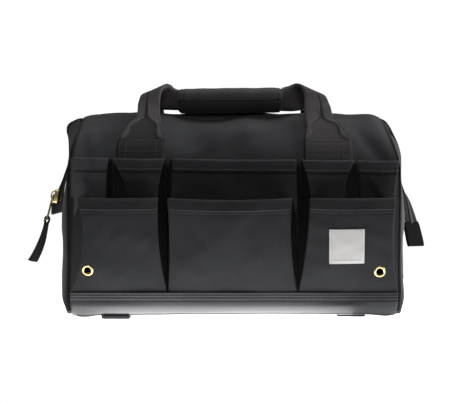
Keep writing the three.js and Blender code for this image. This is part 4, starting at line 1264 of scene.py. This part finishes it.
EYELETS = (("grommet_left", "lower_pocket_left", -150.5, 52.0),
           ("grommet_right", "lower_pocket_right", 150, 50.5))
HOLE = 4.3
EYELET_SECTION = [(3.5, -2.4), (3.5, 0.2), (3.9, 0.85), (4.7, 1.15), (5.4, 0.95), (5.9, 0.5), (6.1, 0.05),
                  (5.6, -0.05), (4.4, -0.05), (4.2, -2.4), (4.8, -2.7), (4.3, -3.0), (3.8, -2.9)]
for name, pocket_name, x, up in EYELETS:
    pocket = pockets[pocket_name][0]
    start = Vector(to_frame((x, IN_FRONT, up)))
    spot, normal = touch(pocket).ray_cast(start, Vector((0, 1, 0)))[:2]
    stand = Matrix.Translation(spot) @ normal.to_track_quat("Z", "Y").to_matrix().to_4x4()
    start_fresh()
    bpy.ops.mesh.primitive_cylinder_add(vertices=32, radius=HOLE * MM, depth=8 * MM)
    cutter = bpy.context.object
    cutter.matrix_world = stand
    hole = pocket.modifiers.new("eyelet_hole", "BOOLEAN")
    hole.operation = "DIFFERENCE"
    hole.object = cutter
    bpy.context.view_layer.objects.active = pocket
    bpy.ops.object.modifier_apply(modifier="eyelet_hole")
    bpy.data.objects.remove(cutter)
    ring = turned_ring(name + "_ring", EYELET_SECTION, 40)
    ring.data.transform(stand)
    hand_over(ring, brass, "brass", name)

# %% [markdown]
# The zip is one tape from tail to tail. It runs along the ridge under the two lips, bends over each end
# wall, is sewn down the wall for a while and then hangs free, turning a little as it does. First its course
# is drawn, as stations with a turn in degrees, and each point of the curve gets its own three directions.

# %% Zip course
TAPE_HALF = 12.5


def ridge_station(x):
    """A place on the ridge, which sags with the front lip."""
    sag = 6.5 * math.exp(-((x + 18) / 40) ** 2)
    return (x, 0, LIP_UP - 5.2 - float(ridge_drop(x * 1.04)) - sag, 0)


def wall_station(side, up):
    """A place on the middle of an end wall."""
    return (side * (float(end_x(side, np.array(0.0), np.array(float(up)))) + 1.6), 0, up, 0)


ZIP_PATH = [(-193.2, 0, 111, 37), (-193.0, 0, 115, 33), (-192.2, 0, 121, 25), (-186.4, 0, 141, 12)]
ZIP_PATH += [wall_station(-1, up) for up in (160, 173, 186)]
ZIP_PATH += [(-181.9, 0, 194.6, 0), (-180.9, 0, 199.0, 0), (-175.8, 0, 202.6, 0), (-168.8, 0, 205.2, 0)]
ZIP_PATH += [ridge_station(x) for x in (-160, -140, -120, -88, -58, -36, -18, 0, 24, 50, 86, 120, 138, 152)]
ZIP_PATH += [(157.0, 0, 205.6, 0), (163.8, 0, 203.4, 0), (169.2, 0, 197.2, 0), (173.2, 0, 189.4, 0)]
ZIP_PATH += [wall_station(1, up) for up in (180, 165, 150, 137)]
ZIP_PATH += [(190.6, 0, 114, 22), (196.3, 0, 88.5, 42)]
zip_path = smooth_path(ZIP_PATH, 320)
zip_run = np.gradient(zip_path[:, :3], axis=0)
zip_run /= np.linalg.norm(zip_run, axis=1)[:, None]
zip_turn = np.radians(zip_path[:, 3])[:, None]
zip_up = np.cross(zip_run, (0, 1, 0))
zip_wide = np.cos(zip_turn) * np.array((0, 1, 0)) + np.sin(zip_turn) * zip_up
zip_up = np.cross(zip_run, zip_wide)
zip_along = run_along(zip_path[:, :3])
print("zip from tail to tail:", round(zip_along[-1]), "mm")

# %% [markdown]
# The tape is a thin tube along that course. Its edges droop where it bends over the ends, and its rear half
# is lifted to the back lip in the middle of the ridge, so that no gap opens between them. Shade is painted
# on it where it lies under the lips, except in the middle of the ridge, and more faintly from near the right
# end down to its tail.

# %% Zip tape
flat = np.array([(-1, 0.2), (-0.99, 0.5), (-0.6, 0.5), (-0.25, 0.5), (0.25, 0.5), (0.6, 0.5), (0.99, 0.5),
                 (1, 0.2), (1, -0.2), (0.99, -0.5), (0.6, -0.5), (0, -0.5), (-0.6, -0.5), (-0.99, -0.5),
                 (-1, -0.2)])
zip_x, zip_height = zip_path[:, 0], zip_path[:, 2]
tape_half = TAPE_HALF * (1 - 0.05 * (1 - ease(zip_height, 95, 140)) * (zip_x > 0))
rings = (zip_path[:, None, :3] + (flat[:, 0] * tape_half[:, None])[:, :, None] * zip_wide[:, None]
         + flat[None, :, 1:] * 1.2 * zip_up[:, None])
bends = sum(np.exp(-((zip_x - x) / 8) ** 2) for x in (-176, 167)) * ease(zip_height, 188, 197)
rings[:, :, 2] -= 3.6 * bends[:, None] * flat[:, 0] ** 2
back_lip = 3 * np.exp(-((zip_x + 4) / 60) ** 4) + 6 * np.exp(-((zip_x + 18) / 40) ** 2)
rings[:, :, 2] += back_lip[:, None] * ease(flat[:, 0], 0.1, 1.0)
# painted shade under the lips, and fainter from near the right end down to its tail
tape_shade = np.where(zip_x > 150, 0.35 * (1 - bends), 0.8 * ease(zip_x, -172, -160))
tape_shade = tape_shade * (1 - np.exp(-((zip_x + 5) / 75) ** 4))
tape_shade = np.tile(tape_shade[:, None], (1, len(flat)))
tape = tube("zip_tape_strip", rings, zip_along, flat[:, 0] * tape_half[:, None], tape_shade)
hand_over(tape, tape_cloth, "zip_tape", "zip_tape")

# %% [markdown]
# The zip's teeth are hundreds of small nylon loops, so one bead of few faces is modelled and copied along
# the course. Every other loop belongs to the other half of the zip: it lies on the other side and leans the
# other way.

# %% Zip coil
LOOP_STEP = 0.9
LOOP_SIDE = 1.1
LOOP_LEAN = 0.3
LOOP_UP = 1.35


def copies(name, model, places):
    """One mesh of many copies. A place is an origin and three axes, as rows, in metres."""
    points, faces = model
    places = np.asarray(places)
    spread = np.einsum("pk,nkj->npj", points, places[:, 1:]) + places[:, :1]
    mesh = bpy.data.meshes.new(name)
    made = [tuple(i + k * len(points) for i in f) for k in range(len(places)) for f in faces]
    mesh.from_pydata(spread.reshape(-1, 3).tolist(), [], made)
    piece = bpy.data.objects.new(name, mesh)
    bpy.context.collection.objects.link(piece)
    mesh.polygons.foreach_set("use_smooth", [True] * len(mesh.polygons))
    mesh.update()
    return piece


def bead(long, wide, high):
    """A ball of few faces with its poles at the ends of its length, pulled to a size in millimetres.

    Its points and faces are kept, to be copied many times, and the ball itself is thrown away.
    """
    start_fresh()
    bpy.ops.mesh.primitive_uv_sphere_add(segments=6, ring_count=4, radius=1)
    piece = bpy.context.object
    edit_all()
    bpy.ops.transform.rotate(value=math.pi / 2, orient_axis="Y", center_override=(0, 0, 0))
    bpy.ops.transform.resize(value=(long * MM, wide * MM, high * MM), center_override=(0, 0, 0))
    bpy.ops.object.mode_set(mode="OBJECT")
    points = np.array([v.co[:] for v in piece.data.vertices])
    faces = [tuple(f.vertices) for f in piece.data.polygons]
    bpy.data.objects.remove(piece)
    return points, faces


loop = bead(2.3, 0.72, 0.95)
places = []
for k, spot in enumerate(np.arange(16, zip_along[-1] - 3, LOOP_STEP)):
    here, run, wide, up = (np.array([np.interp(spot, zip_along, field[:, j]) for j in range(3)])
                           for field in (zip_path, zip_run, zip_wide, zip_up))
    half = 1 if k % 2 else -1
    across = wide * math.cos(half * LOOP_LEAN) + run * math.sin(half * LOOP_LEAN)
    middle = here + up * LOOP_UP + wide * (half * LOOP_SIDE)
    places.append([to_frame(middle), across, np.cross(up, across), up])
coil = copies("zip_coil", loop, places)
hand_over(coil, nylon, "zip_tape", "zip_chain")

# %% [markdown]
# Each end of the zip is closed with a folded piece of webbing, short on the left and long on the right. It
# is a small pillow that carries on from the tape, thickest in its middle.

# %% Zip ends
def rounded(turn, power):
    """A cosine or sine with its tops flattened, for a section between a circle and a box."""
    return np.sign(turn) * np.abs(turn) ** power


def zip_end(name, index, direction, length, slant):
    """A folded tab that carries on from one end of the tape, its lower edge at a slant."""
    run = zip_run[index] * direction
    wide = zip_wide[index] * (1, 1, 0) + (0, 0, slant)
    wide /= np.linalg.norm(wide)
    up = np.cross(zip_run[index], wide)
    turn = np.linspace(0, 2 * math.pi, 36, endpoint=False)
    section = rounded(np.cos(turn), 0.35)
    rings, along = [], []
    for share in (0, 0.03, 0.1, 0.25, 0.5, 0.75, 0.9, 0.97, 1):
        thick = 2.3 * (0.55 + 0.45 * (1 - abs(2 * share - 1) ** 8)) + 0.3 * math.sin(share * 3)
        half = 15 * (0.9 + 0.03 * (1 - abs(2 * share - 1) ** 6) + 0.12 * share)
        a = section * half
        b = rounded(np.sin(turn), 0.5) * thick
        middle = zip_path[index, :3] + run * (share * (length + 5) - 5)
        rings.append(middle + a[:, None] * wide + b[:, None] * up)
        along.append(share * (length + 5))
    return tube(name, np.array(rings), np.array(along), np.tile(section * 14.5, (len(rings), 1)))


# name, which end of the course, direction, length, slant and finish
ZIP_ENDS = (("zip_tab_left", 0, -1, 8, -0.2, tape_cloth), ("zip_tab_right", -1, 1, 23, -0.06, end_cloth))
for name, *shape, finish in ZIP_ENDS:
    hand_over(zip_end(name + "_fold", *shape), finish, "webbing", name)

# %% [markdown]
# The slider is cast brass: a shield-shaped plate over the coil with a skirt at each side, a plate behind the
# tape, and an arch for the pull. It is modelled lying flat, X along the zip and Z outwards. A plate is a cube
# cut twice along its length, so that its sides can be pulled down as skirts and its rear end drawn in.

# %% Slider plates
ZIP_ALONG = np.array((0.211, 0, 0.977))
ZIP_OUT = np.array((-0.977, 0, 0.211))
SLIDER_MIDDLE = np.array((-192.5, 0, 121.0))


def stand_at(middle, x_axis, y_axis, z_axis):
    """The matrix that carries a model in metres to a place in millimetres, with the given axes."""
    turn = Matrix((x_axis, y_axis, z_axis)).transposed().to_4x4()
    return Matrix.Translation(to_frame(middle)) @ turn


def slider_plate(name, middle_height, thick, skirt):
    """One plate of the slider: wide where the tapes part, narrow behind, with skirts of some depth."""
    plate = block(name, (15 * MM, 11.6 * MM, thick * MM), (0, 0, middle_height * MM))
    for y in (-4.2, 4.2):
        bpy.ops.mesh.select_all(action="SELECT")
        bpy.ops.mesh.bisect(plane_co=(0, y * MM, 0), plane_no=(0, 1, 0))
    if skirt:
        pick(plate, "FACE", lambda f: f.normal.z < -0.9 and abs(f.center.y) > 4.3 * MM)
        bpy.ops.mesh.extrude_region_move(TRANSFORM_OT_translate={"value": (0, 0, skirt * MM)})
    pick(plate, "VERT", lambda v: v.co.x < 0)
    bpy.ops.transform.resize(value=(1, 0.8, 1), center_override=(0, 0, 0))
    points = plate.data.vertices
    pick(plate, "EDGE", lambda e: all(abs(points[i].co.y) > 4.5 * MM for i in e.vertices)
         and abs(points[e.vertices[0]].co.z - points[e.vertices[1]].co.z) > 1 * MM)
    bpy.ops.mesh.bevel(offset=1.5 * MM, segments=3)
    bpy.ops.object.mode_set(mode="OBJECT")
    return plate


top_plate = slider_plate("zip_slider_body", 4.4, 2.0, -2.4)
back_plate = slider_plate("slider_back", -2.6, 1.4, 0)
print("slider plates:", len(top_plate.data.polygons), "and", len(back_plate.data.polygons), "faces")

# %% [markdown]
# The arch is the upper half of a flattened torus. It is joined to the plates, the edges are softened as in a
# casting, and the slider is stood in its place on the tape.

# %% Slider
start_fresh()
bpy.ops.mesh.primitive_torus_add(major_radius=5.2 * MM, minor_radius=0.8 * MM, major_segments=32,
                                 minor_segments=10)
arch = bpy.context.object
edit_all()
bpy.ops.transform.rotate(value=math.pi / 2, orient_axis="X", center_override=(0, 0, 0))
bpy.ops.transform.resize(value=(1, 2, 0.78), center_override=(0, 0, 0))
bpy.ops.mesh.bisect(plane_co=(0, 0, 0), plane_no=(0, 0, 1), clear_inner=True, use_fill=True)
bpy.ops.mesh.select_all(action="SELECT")
bpy.ops.transform.translate(value=(0, 0, 5.2 * MM))
bpy.ops.object.mode_set(mode="OBJECT")
start_fresh()
for part in (back_plate, arch, top_plate):
    part.select_set(True)
bpy.context.view_layer.objects.active = top_plate
bpy.ops.object.join()
slider = bpy.context.object
soften(slider, 0.4 * MM)
slider.data.transform(stand_at(SLIDER_MIDDLE, ZIP_ALONG, (0, 1, 0), ZIP_OUT))
hand_over(slider, brass, "brass", "zip_slider")

# %% [markdown]
# The pull is a flat brass tag with two windows. The upper one hangs on the slider's arch, the lower slot
# takes a doubled strap. It is a cube cut across in two places, with its end faces inset and bridged right
# through, and a waist between. It is modelled with its hinge at the origin.

# %% Pull
HINGE = SLIDER_MIDDLE + 7.0 * ZIP_OUT
PULL_TURN = math.radians(-3)
PULL_UP = ZIP_ALONG * math.cos(PULL_TURN) + ZIP_OUT * math.sin(PULL_TURN)
PULL_OUT = ZIP_OUT * math.cos(PULL_TURN) - ZIP_ALONG * math.sin(PULL_TURN)

pull = block("zip_pull_tag", (9.6 * MM, 29 * MM, 1.6 * MM), (0, -13.5 * MM, 0))
for y in (-12.6, -21.6):
    bpy.ops.mesh.select_all(action="SELECT")
    bpy.ops.mesh.bisect(plane_co=(0, y * MM, 0), plane_no=(0, 1, 0))
for low, high, rim in ((-12.6, 1, 2.4), (-28, -21.6, 1.6)):
    pick(pull, "FACE", lambda f: abs(f.normal.z) > 0.9 and low < f.center.y / MM < high)
    bpy.ops.mesh.inset(thickness=rim * MM, depth=0)
    bpy.ops.mesh.bridge_edge_loops()
pick(pull, "VERT", lambda v: -22 < v.co.y / MM < -12)
bpy.ops.transform.resize(value=(0.78, 1, 1), center_override=(0, 0, 0))
soften(pull, 0.4 * MM)
pull.data.transform(stand_at(HINGE, (0, -1, 0), PULL_UP, PULL_OUT))
hand_over(pull, brass, "brass", "zip_pull", body="pull")

# %% [markdown]
# The strap on the pull is a strip of webbing threaded through the slot and folded down on itself. Its two
# layers lie together below the bar and spread at their cut ends.

# %% Pull strap
# one layer of the strap, from its cut end to the bar: how far below it, how far out, half its width and
# half its thickness
STRAP_SIDE = [(52, 1.75, 5.0, 1.25), (50.5, 1.7, 4.9, 1.3), (41, 1.35, 4.6, 1.3), (26.4, 1.3, 4.4, 1.3),
              (14, 1.3, 4.1, 1.3), (7.4, 1.4, 3.65, 1.25), (3.4, 2.3, 2.9, 1.1), (0.8, 2.0, 2.9, 1.05)]
SLOT = -24.6  # where the strap goes round the bar, below the hinge
strap_path = [(0, SLOT - d, f, w, b) for d, f, w, b in STRAP_SIDE] + [(0, -24.5, 0, 2.9, 1.05)]
strap_path += [(0, SLOT - d, -f, w, b) for d, f, w, b in STRAP_SIDE[::-1]]
strap_path = smooth_path(strap_path, 110)
run = np.gradient(strap_path[:, :3], axis=0)
run /= np.linalg.norm(run, axis=1)[:, None]
face = np.cross(run, (1, 0, 0))
turn = np.linspace(0, 2 * math.pi, 20, endpoint=False)
across = strap_path[:, 3:4] * rounded(np.cos(turn), 0.5)
through = strap_path[:, 4:5] * rounded(np.sin(turn), 0.6)
local = (strap_path[:, None, :3] + across[:, :, None] * np.array((1.0, 0, 0))
         + through[:, :, None] * face[:, None])
down = np.maximum(0, SLOT - local[:, :, 1])
twist = 0.85 * ease(down, 5, 46)
side, out = local[:, :, 0].copy(), local[:, :, 2].copy()
local[:, :, 0] = side * np.cos(twist) - out * np.sin(twist)
local[:, :, 2] = side * np.sin(twist) + out * np.cos(twist) + 6.8 * (down / 48) ** 2.5 - 4.2 * down / 48
rings = HINGE + local @ np.array([(0, -1, 0), PULL_UP, PULL_OUT])
pull_strap = tube("pull_strap_webbing", rings, run_along(strap_path[:, :3]), across)
hand_over(pull_strap, tape_cloth, "webbing", "pull_strap", body="pull")

# %% [markdown]
# Every seam shows its thread. A stitch is one small bead, pressed into the cloth and copied along the seam
# at an even step. The seam's line is drawn first, and each stitch then takes its place and its tilt from
# the nearest point of the finished cloth.

# %% Stitches
STITCH = bead(1.25, 0.42, 0.36)
STITCH_STEP = 2.8
THREAD_UP = 0.12  # how far a stitch's middle stands above the cloth


def stitch_places(ground, line, step):
    """Places along a line in millimetres, each moved to the nearest point of the cloth."""
    line = np.asarray(line, float)
    run = run_along(line)
    places = []
    for spot in np.arange(step / 2, run[-1], step):
        here, ahead = (np.array([np.interp(s, run, line[:, j]) for j in range(3)])
                       for s in (spot - 0.4, spot + 0.4))
        found, normal = ground.find_nearest(Vector(to_frame((here + ahead) / 2)))[:2]
        up = np.array(normal)
        along = ahead - here
        along -= up * along.dot(up)
        along /= np.linalg.norm(along)
        places.append([np.array(found) + up * THREAD_UP * MM, along, np.cross(up, along), up])
    return places


def sew(name, seams, slot="canvas", yarn=thread, stitch=STITCH, step=STITCH_STEP):
    """One mesh of stitches for a list of seams, each one a cloth and a line on it."""
    places = [place for cloth, line in seams for place in stitch_places(touch(cloth), line, step)]
    hand_over(copies(name, stitch, places), yarn, slot)


seams = []
for cloth, rule, row in pockets.values():
    for shift in row["rows"]:
        u = np.linspace(GUSSET + 0.012, 1 - GUSSET - 0.012, 90)
        below = row["band"] + shift
        seams.append((cloth, rule(u, np.full(90, 1 - below / (row["hem"] - CLOTH_FOOT)))))
sew("hem_stitches", seams)

# %% [markdown]
# The base is sewn with three rows along each of its upper edges, and one row of bolder stitches along the
# bend. The lips are sewn along their folds, all the way from end to end.

# %% Base and lip stitches
x = np.linspace(-166, 166, 200)
seams = [(base_strip, np.column_stack([x, np.full(200, side * BASE_FRONT), np.full(200, BASE_TOP - row)]))
         for side in (-1, 1) for row in BASE_ROWS]
sew("base_stitches", seams, "coated_base", strap_thread)

BEND_OUT, BEND_UP = 97.6, 1.5
x = np.linspace(-164, 164, 200)
seams = [(base_strip, np.column_stack([x, np.full(200, side * BEND_OUT), np.full(200, BEND_UP)]))
         for side in (-1, 1)]
sew("base_edge_stitches", seams, "coated_base", base_thread, bead(1.2, 0.85, 0.6))

u = np.linspace(0.02, 0.98, 240)
sew("lip_stitches", [(cloth, sheet_rule(*SHEETS[name])(u, np.full(240, LIP_SEAM)))
                     for name, cloth in sheets.items()])

# %% [markdown]
# The label is sewn on all round, close to its edge. A handle's webbing has a row along each of its edges,
# two more along the fold, and a box of stitches where it is sewn to the bag. A grip has one row along its
# lap.

# %% Label, handle and grip stitches
LABEL_OUT = -117
inset = LABEL_SIZE / 2 - 1.7
corners = [(-inset, -inset), (inset, -inset), (inset, inset), (-inset, inset), (-inset, -inset)]
ring = [(LABEL_MIDDLE[0] + a, LABEL_OUT, LABEL_MIDDLE[1] + b) for a, b in corners]
sew("label_stitches", [(label, ring)], "woven_label", pale_thread, step=2.2)

seams = []
for strap, rings, path in handles.values():
    front = rings[:, :STRAP_FRONT]
    up = path[:, 2]
    for side in (-1, 1):
        leg = np.flatnonzero((path[:, 9] < FOLDED) & (path[:, 0] * side > 0) & (up < 226))
        folded, sewn = leg[up[leg] > 206], leg[up[leg] < 183]
        for part, columns in ((leg, (2, 34)), (folded, (11, 17)), (sewn, (7, 29))):
            seams += [(strap, front[part, column]) for column in columns]
        for level in (173, 183.5):
            seams.append((strap, front[leg[np.abs(up[leg] - level).argmin()], 3:34]))
sew("handle_stitches", seams, "webbing", strap_thread)

GRIP_OUT = 30
x = np.linspace(10 - GRIP_HALF, GRIP_HALF - 10, 80)
lap_up = GRIP_MIDDLE[2] + 0.6 + x * GRIP_TILT
seams = [(grips[name], np.column_stack([x + GRIP_MIDDLE[0], np.full(80, side * GRIP_OUT), lap_up]))
         for name, side in (("grip_front", -1), ("grip_back", 1))]
sew("grip_stitches", seams)
